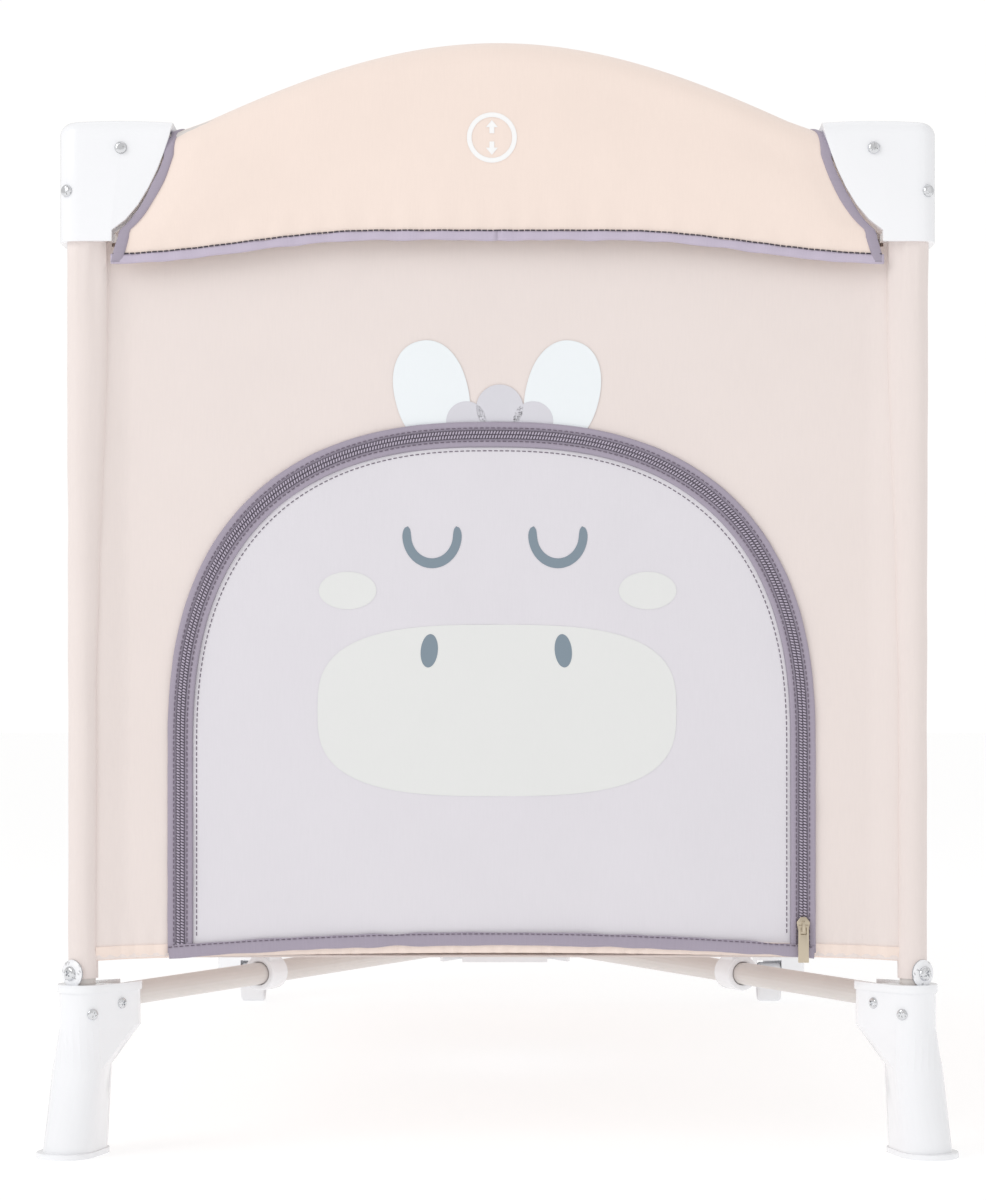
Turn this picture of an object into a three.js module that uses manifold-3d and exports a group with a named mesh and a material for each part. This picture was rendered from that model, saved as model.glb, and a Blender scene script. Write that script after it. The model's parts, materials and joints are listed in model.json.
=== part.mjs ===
// A folding travel cot (playpen) with a zipped crawl-through door.
// Millimetres, +Z up. The origin is on the floor under the middle of the cot,
// the door end faces -Y and the wheel end faces +Y.
import * as THREE from 'three';
import { mergeVertices } from 'three/addons/utils/BufferGeometryUtils.js';
import Module from 'manifold-3d';

const wasm = await Module();
wasm.setup();

// ---- driving dimensions -------------------------------------------------
const FRAME_WIDTH = 652;          // over the corner caps, along X
const FRAME_LENGTH = 1250;        // over the corner caps, along Y
const CAP_TOP = 769;
const CAP_HEIGHT = 88;
const CAP_ARM = 85;               // length of each arm of a corner cap
const CAP_THICK = 40;
const CAP_CURVE_OUT = 3;          // exponents of the cap's rounded lower edge, along its arm
const CAP_CURVE_DOWN = 1.15;      // and downwards
const CAP_CORNER_RADIUS = 15;

const RAIL_HEIGHT = 750;          // height of every rail pivot
const RAIL_THICK = 12;            // flat-oval rail tube, across the rail
const RAIL_TALL = 20;
const RAIL_TAIL = 7;              // rail beyond its cap pivot
const RAIL_PIVOT_INSET = 47;      // rail pivot from the outer face of the cap
const RAIL_PLANE_INSET = 21;      // middle plane of a rail from the outer face
const ARCH_RISE = 66;             // how far the end rails arch above their pivots
const ARCH_FLAT = 31;             // straight tail of an end rail beside its cap

const LOCK_THICK = 8;
const END_LOCK_PIVOT = 30;        // end rail pivot from the middle of its lock
const LOCK_MARGIN = 20;           // lock plate beyond its pivots
const LOCK_BELOW = 14;            // lock plate below its pivots
const END_LOCK_ABOVE = 72;
const SIDE_LOCK_ABOVE = 10;
const BUTTON_WIDTH = 24;
const BUTTON_TALL = 23;
const BUTTON_PROUD = 7;           // button below the lock plate
const BUTTON_TRAVEL = 7;          // room above a button for its press

const PIN_RADIUS = 3;
const PIN_CLEARANCE = 0.3;
const SIDE_GAP = 0.4;             // clearance between parts that slide past each other
const PIN_BITE = 2;               // pin inside the part that holds it
const PAST = 5;                   // a cutting shape beyond what it cuts

const POST_RADIUS = 9.5;
const POST_INSET = 16.5;          // post centre from both outer faces
const POST_WALL = 1.2;
const POST_IN_LEG = 44;
const POST_IN_CAP = 66;

const LEG_TOP = 129;
const LEG_FLANGE = 6;
const LEG_OUTER_RADIUS = 17.5;    // leg around its post
const LEG_INNER_RADIUS = 14.4;    // leg around its tube's pivot
const FLANGE_LIP = 1.4;           // top flange beyond the leg
const SHOULDER_TOP = 96;          // the leg is its full width above this
const SHOULDER_BOTTOM = 66;
const COLUMN_OUTER_RADIUS = 18.5;
const COLUMN_INNER_RADIUS = 17;
const SOLE_THICK = 4;
const SOLE_OUTER_RADIUS = 22;
const SOLE_INNER_RADIUS = 21;
const SOLE_RIM = 2.5;             // sole beyond the foot of the column
const SOLE_SPLAY = 18;            // sole beyond the outer face of the cap, along X
const SOLE_REACH = 6;             // sole beyond the outer face of the cap, along Y
const TUBE_HEIGHT = 118.5;         // centre of the base tubes
const TUBE_RADIUS = 9;
const TUBE_WALL = 1.2;
const TUBE_TAIL = 10;             // tube beyond each of its pivots
const LEG_PIVOT_X = 39;           // leg pivot from the outer faces
const LEG_PIVOT_Y = 37;

const HUB_REACH = 90;             // hub pivots from the middle of the cot
const HUB_RIM = 20;
const HUB_BOTTOM = 102;
const HUB_TOP = 147;

const BRACKET_AT = 217;           // bracket from the leg pivot, along its tube
const BRACKET_LENGTH = 24;
const BRACKET_WALL = 5;
const BRACKET_TOP = 147;

const WHEEL_RADIUS = 22;
const WHEEL_WIDTH = 26;
const WHEEL_OUT = 5;              // wheel nearer the side than the leg's pivot
const WHEEL_BACK = 3;             // wheel axle nearer the end than the leg's pivot
const WHEEL_ROOM = 3;             // clearance around a wheel
const REAR_LEG_BOTTOM = 20;
const REAR_LEG_RADIUS = 21;
const REAR_COLUMN_TOP = 62;
const AXLE_RADIUS = 3;
const FORK_WALL = 4.5;

const FLOOR_TOP = 149.6;
const CLOTH = 2;                  // thickness of every fabric wall
const WALL_BOTTOM = 150;
const WALL_TOP = 726;
const WALL_INSET = 21;            // middle of a wall from the outer face
const WALL_SIDE_GAP = 0.5;
const CAP_GAP = 3;                // fabric from the underside and ends of the caps
const MATTRESS_SIDE_GAP = 10;      // mattress from the middle of a wall
const MATTRESS_END_GAP = 9;
const MATTRESS_THICK = 25;

const DOOR_BOTTOM = 153;
const DOOR_CENTRE = 304;          // where the door's arch starts
const DOOR_HALF_WIDTH = 219;
const DOOR_RISE = 226;
const DOOR_CURVE = 2.5;
const TAPE_INNER = 2;             // tape beyond the door's edge
const TAPE_WIDTH = 18;
const TAPE_THICK = 2.4;
const SLIDER_Z = 171;

const COVER_BOTTOM = 668;
const COVER_GAP = 6;              // cover from the cap's rounded edge
const COVER_THICK = 44;
const COVER_ROUND = 14.5;         // cover above the centre line of its rail

// ---- sizes that follow from them ----------------------------------------
const CAP_X = FRAME_WIDTH / 2;
const CAP_Y = FRAME_LENGTH / 2;
const POST_X = CAP_X - POST_INSET;
const POST_Y = CAP_Y - POST_INSET;
const PIVOT_X = CAP_X - LEG_PIVOT_X;
const PIVOT_Y = CAP_Y - LEG_PIVOT_Y;
const WHEEL_X = PIVOT_X + WHEEL_OUT;
const WHEEL_Y = PIVOT_Y - WHEEL_BACK;
const TUBE_SPAN = Math.hypot(PIVOT_X, PIVOT_Y) - HUB_REACH;
const TUBE_DIR = new THREE.Vector2(PIVOT_X, PIVOT_Y).normalize();
const RAIL_OFFSET = LOCK_THICK / 2 + SIDE_GAP + RAIL_THICK / 2;
const HALF_SPAN_X = CAP_X - RAIL_PIVOT_INSET;
const HALF_SPAN_Y = CAP_Y - RAIL_PIVOT_INSET;
const RAIL_Y = CAP_Y - RAIL_PLANE_INSET;
const RAIL_X = CAP_X - RAIL_PLANE_INSET;
// A side rail half reaches as far as a base tube does along Y, so both turn by the same angle.
const SIDE_LOCK_PIVOT = HALF_SPAN_Y - TUBE_SPAN * TUBE_DIR.y;
const CLOTH_GAP = 0.4;
const SLIDER_X = DOOR_HALF_WIDTH + TAPE_WIDTH / 2;
const WALL_Y = CAP_Y - WALL_INSET;
const WALL_X = CAP_X - WALL_INSET;

// ---- materials ----------------------------------------------------------
const paint = (color, roughness, metalness) => new THREE.MeshStandardMaterial({ color, roughness, metalness });
const WHITE_PLASTIC = paint(0xf6f6f8, 0.3, 0);
const PAINTED_STEEL = paint(0xcfc4bf, 0.4, 0.3);
const BRIGHT_STEEL = paint(0xc9c4bb, 0.3, 1);
const PEACH_CLOTH = paint(0xf4e2d9, 0.9, 0);
const PINK_CLOTH = paint(0xeee3e0, 0.9, 0);
const LILAC_CLOTH = paint(0xe4e3e9, 0.9, 0);
const PURPLE_TAPE = paint(0xa79fb0, 0.9, 0);
const GREY_RUBBER = paint(0xe2e2e4, 0.6, 0);
const WEBBING = paint(0x8f8797, 0.95, 0);

// ---- geometry helpers ---------------------------------------------------
// Position-only copy with its shared vertices merged, as the boolean steps need it.
function bare(geometry) {
  const plain = geometry.clone();
  plain.deleteAttribute('normal');
  plain.deleteAttribute('uv');
  return mergeVertices(plain, 1e-4);
}

function toSolid(geometry) {
  const g = bare(geometry);
  return new wasm.Manifold(new wasm.Mesh({
    numProp: 3,
    vertProperties: new Float32Array(g.attributes.position.array),
    triVerts: new Uint32Array(g.index.array),
  }));
}

function toGeometry(solid) {
  const mesh = solid.getMesh();
  const g = new THREE.BufferGeometry();
  g.setAttribute('position', new THREE.BufferAttribute(new Float32Array(mesh.vertProperties), 3));
  g.setIndex(new THREE.BufferAttribute(new Uint32Array(mesh.triVerts), 1));
  return g;
}

function join(first, ...others) {
  return toGeometry(others.reduce((solid, g) => solid.add(toSolid(g)), toSolid(first)));
}

function cut(first, ...tools) {
  return toGeometry(tools.reduce((solid, g) => solid.subtract(toSolid(g)), toSolid(first)));
}

function common(first, second) {
  return toGeometry(toSolid(first).intersect(toSolid(second)));
}

function block(x0, x1, y0, y1, z0, z1) {
  return new THREE.BoxGeometry(x1 - x0, y1 - y0, z1 - z0)
    .translate((x0 + x1) / 2, (y0 + y1) / 2, (z0 + z1) / 2);
}

// A cylinder along 'x', 'y' or 'z', centred on (x, y, z).
function rod(axis, radius, length, x, y, z, sides = 24) {
  const g = new THREE.CylinderGeometry(radius, radius, length, sides);
  if (axis === 'x') g.rotateZ(Math.PI / 2);
  if (axis === 'z') g.rotateX(Math.PI / 2);
  return g.translate(x, y, z);
}

// An outline in plan [x, y], raised from z0 to z1.
function raise(outline, z0, z1) {
  const shape = new THREE.Shape(outline.map(([x, y]) => new THREE.Vector2(x, y)));
  return new THREE.ExtrudeGeometry(shape, { depth: z1 - z0, bevelEnabled: false }).translate(0, 0, z0);
}

// An outline seen from the front [x, z], carried from y0 to y1.
function carry(outline, y0, y1) {
  const shape = new THREE.Shape(outline.map(([x, z]) => new THREE.Vector2(x, z)));
  return new THREE.ExtrudeGeometry(shape, { depth: y1 - y0, bevelEnabled: false })
    .rotateX(Math.PI / 2)
    .translate(0, y1, 0);
}

// The same shape on the other side of x = 0 and/or y = 0, still facing outwards.
function mirrored(geometry, sx, sy) {
  const g = bare(geometry).applyMatrix4(new THREE.Matrix4().makeScale(sx, sy, 1));
  if (sx * sy < 0) {
    const index = g.index.array;
    for (let i = 0; i < index.length; i += 3) [index[i], index[i + 1]] = [index[i + 1], index[i]];
  }
  return g;
}

// A quarter turn that swaps the roles of X and Y: what ran along X runs along Y.
function sideways(geometry) {
  const g = bare(geometry).applyMatrix4(new THREE.Matrix4().set(0, 1, 0, 0, 1, 0, 0, 0, 0, 0, 1, 0, 0, 0, 0, 1));
  const index = g.index.array;
  for (let i = 0; i < index.length; i += 3) [index[i], index[i + 1]] = [index[i + 1], index[i]];
  return g;
}

// The outline around two circles, the wider view of a leg from above.
function aroundTwo(a, ra, b, rb, perArc = 12) {
  const along = Math.atan2(b[1] - a[1], b[0] - a[0]);
  const lean = Math.acos((ra - rb) / Math.hypot(b[0] - a[0], b[1] - a[1]));
  const arc = ([x, y], r, from, to) => Array.from({ length: perArc }, (_, i) => {
    const t = from + ((to - from) * i) / (perArc - 1);
    return [x + r * Math.cos(t), y + r * Math.sin(t)];
  });
  return [
    ...arc(a, ra, along + lean, along + 2 * Math.PI - lean),
    ...arc(b, rb, along - lean, along + lean),
  ];
}

// A closed body through level rings [z, outline], all with the same number of points.
function loft(rings) {
  const count = rings[0][1].length;
  const points = rings.flatMap(([z, outline]) => outline.flatMap(([x, y]) => [x, y, z]));
  const faces = [];
  for (let r = 0; r + 1 < rings.length; r += 1) {
    for (let i = 0; i < count; i += 1) {
      const j = (i + 1) % count;
      const [a, b, c, d] = [r * count + i, r * count + j, (r + 1) * count + j, (r + 1) * count + i];
      faces.push(a, b, c, a, c, d);
    }
  }
  const flat = THREE.ShapeUtils.triangulateShape(rings[0][1].map(([x, y]) => new THREE.Vector2(x, y)), []);
  const top = (rings.length - 1) * count;
  for (const [a, b, c] of flat) faces.push(a, c, b);
  const lid = THREE.ShapeUtils.triangulateShape(rings.at(-1)[1].map(([x, y]) => new THREE.Vector2(x, y)), []);
  for (const [a, b, c] of lid) faces.push(top + a, top + b, top + c);
  const g = new THREE.BufferGeometry();
  g.setAttribute('position', new THREE.Float32BufferAttribute(points, 3));
  g.setIndex(faces);
  return g;
}

// A tool or pipe laid along a base tube: u runs from the leg pivot to the hub.
function alongTube(geometry) {
  const turn = Math.atan2(TUBE_DIR.y, TUBE_DIR.x);
  return geometry.rotateZ(turn).translate(-PIVOT_X, -PIVOT_Y, 0);
}

function pipe(axis, radius, wall, from, to, sides = 24) {
  const middle = (from + to) / 2;
  const place = axis === 'x' ? [middle, 0, 0] : [0, 0, middle];
  return cut(
    rod(axis, radius, to - from, ...place, sides),
    rod(axis, radius - wall, to - from + 2, ...place, sides),
  );
}

// ---- corner: leg, post and cap, drawn for the front left corner ----------
const LEG_OUTER = [-POST_X, -POST_Y];
const LEG_INNER = [-PIVOT_X + 2.6, -PIVOT_Y + 5.4];   // a little past the pivot, towards the hub

// The slot that the base tube turns up in, and the pin across it.
function legSlot() {
  const below = Math.hypot(TUBE_TAIL, TUBE_RADIUS) + 1.5;
  const half = TUBE_RADIUS + SIDE_GAP;
  return alongTube(block(-below, 60, -half, half, TUBE_HEIGHT - below, LEG_TOP + PAST));
}

function legPin() {
  const reach = TUBE_RADIUS + SIDE_GAP + PIN_BITE;
  return alongTube(rod('y', PIN_RADIUS, 2 * reach, 0, 0, TUBE_HEIGHT, 16));
}

function postHole() {
  const bottom = LEG_TOP - POST_IN_LEG - SIDE_GAP;
  const depth = LEG_TOP + PAST - bottom;
  return rod('z', POST_RADIUS + SIDE_GAP, depth, -POST_X, -POST_Y, bottom + depth / 2, 28);
}

function finishLeg(body) {
  return join(cut(body, legSlot(), postHole()), legPin());
}

function legTopRings() {
  const neck = LEG_TOP - LEG_FLANGE;
  const body = aroundTwo(LEG_OUTER, LEG_OUTER_RADIUS, LEG_INNER, LEG_INNER_RADIUS);
  const flange = aroundTwo(LEG_OUTER, LEG_OUTER_RADIUS + FLANGE_LIP, LEG_INNER, LEG_INNER_RADIUS + FLANGE_LIP);
  return [[SHOULDER_TOP, body], [neck, body], [neck, flange], [LEG_TOP, flange]];
}

function frontLeg() {
  const outer = [-CAP_X - SOLE_SPLAY + SOLE_OUTER_RADIUS, -CAP_Y - SOLE_REACH + SOLE_OUTER_RADIUS];
  const inner = [-CAP_X + 12, -CAP_Y + 40];
  const sole = aroundTwo(outer, SOLE_OUTER_RADIUS, inner, SOLE_INNER_RADIUS);
  const foot = aroundTwo(
    [outer[0] + 2, outer[1] + 2], SOLE_OUTER_RADIUS - SOLE_RIM,
    [inner[0] + 1, inner[1]], SOLE_INNER_RADIUS - SOLE_RIM,
  );
  const column = aroundTwo(
    [-POST_X - 4, -POST_Y - 1], COLUMN_OUTER_RADIUS,
    [-CAP_X + 17, -CAP_Y + 44], COLUMN_INNER_RADIUS,
  );
  return finishLeg(loft([
    [0, sole],
    [SOLE_THICK, sole],
    [SOLE_THICK, foot],
    [SHOULDER_BOTTOM, column],
    ...legTopRings(),
  ]));
}

// The wheel-end legs stop short of the floor and hold a wheel in a fork.
function rearLeg() {
  const outer = [-POST_X - 4, -(CAP_Y + SOLE_REACH - REAR_LEG_RADIUS)];
  const half = WHEEL_WIDTH / 2 + SIDE_GAP * 2;
  const low = aroundTwo(outer, REAR_LEG_RADIUS, [-WHEEL_X, -WHEEL_Y], half + FORK_WALL);
  const body = loft([[REAR_LEG_BOTTOM, low], [REAR_COLUMN_TOP, low], ...legTopRings()]);
  const reach = WHEEL_RADIUS + WHEEL_ROOM;
  const pocket = block(
    -WHEEL_X - half, -WHEEL_X + half,
    -WHEEL_Y - reach, -WHEEL_Y + 2 * reach,
    REAR_LEG_BOTTOM - PAST, WHEEL_RADIUS + reach,
  );
  const hole = rod('x', AXLE_RADIUS + PIN_CLEARANCE, 60, -WHEEL_X, -WHEEL_Y, WHEEL_RADIUS, 16);
  return mirrored(cut(finishLeg(body), pocket, hole), 1, -1);
}

function wheel() {
  const profile = [
    [AXLE_RADIUS + PIN_CLEARANCE, -WHEEL_WIDTH / 2],
    [8, -WHEEL_WIDTH / 2],
    [9, -WHEEL_WIDTH / 2 + 3],
    [WHEEL_RADIUS - 6, -WHEEL_WIDTH / 2 + 3],
    [WHEEL_RADIUS - 4, -WHEEL_WIDTH / 2],
    [WHEEL_RADIUS - 1.5, -WHEEL_WIDTH / 2],
    [WHEEL_RADIUS, -WHEEL_WIDTH / 2 + 2],
  ];
  const back = profile.map(([r, w]) => [r, -w]).reverse();
  const outline = [...profile, ...back, profile[0]].map(([r, w]) => new THREE.Vector2(r, w));
  return new THREE.LatheGeometry(outline, 36)
    .rotateZ(Math.PI / 2)
    .translate(-WHEEL_X, WHEEL_Y, WHEEL_RADIUS);
}

function axle() {
  const length = WHEEL_WIDTH + 2 * FORK_WALL;
  return rod('x', AXLE_RADIUS, length, -WHEEL_X, WHEEL_Y, WHEEL_RADIUS, 16);
}

function post() {
  return pipe('z', POST_RADIUS, POST_WALL, LEG_TOP - POST_IN_LEG, CAP_TOP - CAP_HEIGHT + POST_IN_CAP, 28)
    .translate(-POST_X, -POST_Y, 0);
}

// Quarter outline of a cap arm or of a cover's end beside it: grow adds the cover's gap.
function capEdge(grow, steps) {
  const [a, b] = [CAP_ARM + grow, CAP_HEIGHT + grow];
  return Array.from({ length: steps + 1 }, (_, i) => {
    const t = (Math.PI / 2) * (i / steps);
    return [
      -CAP_X + a * Math.max(Math.cos(t), 0) ** (2 / CAP_CURVE_OUT),
      CAP_TOP - b * Math.sin(t) ** (2 / CAP_CURVE_DOWN),
    ];
  });
}

// endSide and sideSide say on which side of the rail plane this corner's rail halves run:
// -1 nearer the outer face, +1 nearer the inside.
function cornerCap(endSide, sideSide) {
  const edge = capEdge(0, 10);
  const front = [[-CAP_X, CAP_TOP], [-CAP_X, CAP_TOP - CAP_HEIGHT], ...edge.reverse().slice(1)];
  const endArm = carry(front, -CAP_Y, -CAP_Y + CAP_THICK);
  const shift = CAP_Y - CAP_X;
  const sideArm = sideways(carry(front, -CAP_X, -CAP_X + CAP_THICK)).translate(0, -shift, 0);
  const r = CAP_CORNER_RADIUS;
  const corner = Array.from({ length: 9 }, (_, i) => {
    const t = Math.PI + (Math.PI / 2) * (i / 8);
    return [-CAP_X + r + r * Math.cos(t), -CAP_Y + r + r * Math.sin(t)];
  });
  const plan = [...corner, [-CAP_X + CAP_ARM, -CAP_Y], [-CAP_X + CAP_ARM, -CAP_Y + CAP_ARM], [-CAP_X, -CAP_Y + CAP_ARM]];
  const body = common(join(endArm, sideArm), raise(plan, 0, 2 * CAP_TOP));
  const half = RAIL_THICK / 2 + SIDE_GAP;
  const tail = Math.hypot(RAIL_TALL / 2, RAIL_TAIL) + 1;
  const slotTop = RAIL_HEIGHT + tail;
  const endPlane = -CAP_Y + RAIL_PLANE_INSET + endSide * RAIL_OFFSET;
  const sidePlane = -CAP_X + RAIL_PLANE_INSET + sideSide * RAIL_OFFSET;
  const startX = -CAP_X + RAIL_PIVOT_INSET - tail;
  const startY = -CAP_Y + RAIL_PIVOT_INSET - tail;
  const bottom = CAP_TOP - CAP_HEIGHT - PAST;
  const holeDepth = PAST + POST_IN_CAP + SIDE_GAP;
  const hollow = cut(
    body,
    block(startX, -CAP_X + CAP_ARM + PAST, endPlane - half, endPlane + half, bottom, slotTop),
    block(sidePlane - half, sidePlane + half, startY, -CAP_Y + CAP_ARM + PAST, bottom, slotTop),
    rod('z', POST_RADIUS + SIDE_GAP, holeDepth, -POST_X, -POST_Y, bottom + holeDepth / 2, 28),
  );
  const pinReach = RAIL_THICK + 2 * SIDE_GAP + PIN_BITE;
  return join(
    hollow,
    rod('y', PIN_RADIUS, pinReach, -CAP_X + RAIL_PIVOT_INSET, endPlane, RAIL_HEIGHT, 16),
    rod('x', PIN_RADIUS, pinReach, sidePlane, -CAP_Y + RAIL_PIVOT_INSET, RAIL_HEIGHT, 16),
  );
}

// ---- rails and their locks, drawn along X, for the left half --------------
// Height of an end rail's centre line above its pivots, from its tail to the middle.
function archRise(x, halfSpan) {
  const run = Math.min(Math.max((x + halfSpan - ARCH_FLAT) / (halfSpan - ARCH_FLAT), 0), 1);
  return ARCH_RISE * Math.sin((Math.PI / 2) * run) ** 1.15;
}

function ovalSection() {
  const [w, h] = [RAIL_THICK / 2, RAIL_TALL / 2];
  const straight = h - w;
  const shape = new THREE.Shape();
  const arc = (centre, from) => Array.from({ length: 6 }, (_, i) => {
    const t = from + (Math.PI * i) / 5;
    return new THREE.Vector2(centre + w * Math.cos(t), w * Math.sin(t));
  });
  shape.setFromPoints([...arc(straight, -Math.PI / 2), ...arc(-straight, Math.PI / 2)]);
  return shape;
}

// The oval tube of half a rail in the plane y = 0, from the cap pivot to the lock.
function railTube(halfSpan, lockPivot, rise) {
  const steps = rise ? 16 : 1;
  const [from, to] = [-halfSpan - RAIL_TAIL, -lockPivot + RAIL_TALL / 2];
  if (!rise) {
    const shape = ovalSection();
    return new THREE.ExtrudeGeometry(shape, { depth: to - from, bevelEnabled: false, curveSegments: 6 })
      .rotateY(Math.PI / 2)
      .translate(from, 0, RAIL_HEIGHT);
  }
  const points = Array.from({ length: steps + 1 }, (_, i) => {
    const x = from + ((to - from) * i) / steps;
    return new THREE.Vector3(x, 0, RAIL_HEIGHT + rise(x, halfSpan));
  });
  // Level sections set side by side keep the tube upright in its own plane.
  const ring = ovalSection().getPoints(1);
  const rings = points.map((p, i) => {
    const ahead = points[Math.min(i + 1, steps)].clone().sub(points[Math.max(i - 1, 0)]).normalize();
    return ring.map((q) => [p.x - ahead.z * q.x, q.y, p.z + ahead.x * q.x]);
  });
  return loftAcross(rings);
}

// A closed body through rings of [x, y, z] points that are listed anticlockwise from the start end.
function loftAcross(rings) {
  const count = rings[0].length;
  const faces = [];
  for (let r = 0; r + 1 < rings.length; r += 1) {
    for (let i = 0; i < count; i += 1) {
      const j = (i + 1) % count;
      const [a, b, c, d] = [r * count + i, r * count + j, (r + 1) * count + j, (r + 1) * count + i];
      faces.push(a, c, b, a, d, c);
    }
  }
  const last = (rings.length - 1) * count;
  for (let i = 1; i + 1 < count; i += 1) {
    faces.push(0, i, i + 1);
    faces.push(last, last + i + 1, last + i);
  }
  const g = new THREE.BufferGeometry();
  g.setAttribute('position', new THREE.Float32BufferAttribute(rings.flat(2), 3));
  g.setIndex(faces);
  return g;
}

function halfRail(halfSpan, lockPivot, rise) {
  const holes = [-halfSpan, -lockPivot].map((x) => (
    rod('y', PIN_RADIUS + PIN_CLEARANCE, RAIL_THICK + 4, x, 0, RAIL_HEIGHT, 16)));
  let body = railTube(halfSpan, lockPivot, rise);
  if (rise) {
    const half = RAIL_TALL / 2;
    const top = RAIL_HEIGHT + ARCH_RISE;
    const lug = block(-lockPivot - half, -lockPivot + half - 1, -RAIL_THICK / 2, RAIL_THICK / 2, RAIL_HEIGHT - half, top);
    body = join(body, lug);
  }
  return cut(body, ...holes);
}

// The lock plate between two rail halves, with a pin for each and a pocket for its button.
function lockPlate(pivot, above) {
  const half = LOCK_THICK / 2;
  const reach = pivot + LOCK_MARGIN;
  const [bottom, top] = [RAIL_HEIGHT - LOCK_BELOW, RAIL_HEIGHT + above];
  const [low, high] = [6, 10];
  const plate = carry([
    [-reach, bottom + low], [-reach + low, bottom], [reach - low, bottom], [reach, bottom + low],
    [reach, top - high], [reach - high, top], [-reach + high, top], [-reach, top - high],
  ], -half, half);
  const pocketHalf = BUTTON_WIDTH / 2 + SIDE_GAP;
  const pocket = block(
    -pocketHalf, pocketHalf, -half - 1, half + 1,
    bottom - 1, bottom - BUTTON_PROUD + BUTTON_TALL + BUTTON_TRAVEL,
  );
  const pin = (x, side) => (
    rod('y', PIN_RADIUS, RAIL_THICK + half, x, side * (RAIL_THICK + half) / 2, RAIL_HEIGHT, 16));
  return join(cut(plate, pocket), pin(-pivot, -1), pin(pivot, 1));
}

function releaseButton() {
  const bottom = RAIL_HEIGHT - LOCK_BELOW - BUTTON_PROUD;
  const [w, d] = [BUTTON_WIDTH / 2, LOCK_THICK / 2 - 0.5];
  return carry([
    [-w + 2, bottom], [w - 2, bottom], [w, bottom + 2],
    [w, bottom + BUTTON_TALL], [-w, bottom + BUTTON_TALL], [-w, bottom + 2],
  ], -d, d);
}

// ---- base: tubes, brackets and hub ---------------------------------------
function baseTube() {
  const tube = pipe('x', TUBE_RADIUS, TUBE_WALL, -TUBE_TAIL, TUBE_SPAN + TUBE_TAIL, 20).translate(0, 0, TUBE_HEIGHT);
  const holes = [0, TUBE_SPAN].map((u) => rod('y', PIN_RADIUS + PIN_CLEARANCE, 30, u, 0, TUBE_HEIGHT, 16));
  return alongTube(cut(tube, ...holes));
}

function baseBracket() {
  const outer = TUBE_RADIUS + BRACKET_WALL;
  const [from, to] = [BRACKET_AT - BRACKET_LENGTH / 2, BRACKET_AT + BRACKET_LENGTH / 2];
  const flange = [from - 4, to + 4];
  const body = join(
    rod('x', outer, BRACKET_LENGTH, BRACKET_AT, 0, TUBE_HEIGHT),
    block(from + 3, to - 3, -9, 9, TUBE_HEIGHT, BRACKET_TOP - 1),
    block(...flange, -15, 15, BRACKET_TOP - 4, BRACKET_TOP),
  );
  return alongTube(cut(body, rod('x', TUBE_RADIUS + SIDE_GAP, BRACKET_LENGTH + 10, BRACKET_AT, 0, TUBE_HEIGHT, 20)));
}

function hub() {
  const [hx, hy] = [TUBE_DIR.x * HUB_REACH + HUB_RIM, TUBE_DIR.y * HUB_REACH + HUB_RIM];
  const r = 16;
  const plan = [[1, 1, 0], [-1, 1, 1], [-1, -1, 2], [1, -1, 3]].flatMap(([sx, sy, turn]) => (
    Array.from({ length: 5 }, (_, i) => {
      const t = (Math.PI / 2) * (turn + i / 4);
      return [sx * (hx - r) + r * Math.cos(t), sy * (hy - r) + r * Math.sin(t)];
    })));
  const body = raise(plan, HUB_BOTTOM, HUB_TOP);
  const clear = Math.hypot(TUBE_TAIL, TUBE_RADIUS) + 1;
  const half = TUBE_RADIUS + SIDE_GAP;
  const slot = alongTube(block(TUBE_SPAN - 70, TUBE_SPAN + clear, -half, half, HUB_BOTTOM - 10, TUBE_HEIGHT + clear));
  const pin = alongTube(rod('y', PIN_RADIUS, 2 * (half + 2), TUBE_SPAN, 0, TUBE_HEIGHT, 16));
  const each = [[1, 1], [-1, 1], [-1, -1], [1, -1]];
  const recess = block(-34, 34, -16, 16, HUB_TOP - 12, HUB_TOP + 5);
  const slotted = cut(body, recess, ...each.map(([sx, sy]) => mirrored(slot, sx, sy)));
  return join(slotted, ...each.map(([sx, sy]) => mirrored(pin, sx, sy)));
}

// The webbing loop that the hub is pulled up by, lying in the hub's recess.
function hubStrap() {
  const oval = (hx, hy) => Array.from({ length: 24 }, (_, i) => {
    const t = (2 * Math.PI * i) / 24;
    return [hx * Math.sign(Math.cos(t)) * Math.abs(Math.cos(t)) ** 0.7, hy * Math.sign(Math.sin(t)) * Math.abs(Math.sin(t)) ** 0.7];
  });
  return cut(raise(oval(31, 13), HUB_TOP - 11.6, HUB_TOP - 1), raise(oval(28.5, 10.5), HUB_TOP - 20, HUB_TOP + 5));
}

// ---- fabric: walls, door, covers, floor and mattress ----------------------
function doorOutline(grow, bottom) {
  const [a, b] = [DOOR_HALF_WIDTH + grow, DOOR_RISE + grow];
  const steps = 28;
  const arch = Array.from({ length: steps + 1 }, (_, i) => {
    const t = (Math.PI * i) / steps;
    return [
      a * Math.sign(Math.cos(t)) * Math.abs(Math.cos(t)) ** (2 / DOOR_CURVE),
      DOOR_CENTRE + b * Math.sin(t) ** (2 / DOOR_CURVE),
    ];
  });
  return [[-a, bottom], [a, bottom], ...arch];
}

const WALL_HALF_X = POST_X - POST_RADIUS - WALL_SIDE_GAP;
const WALL_HALF_Y = POST_Y - POST_RADIUS - WALL_SIDE_GAP;

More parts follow.
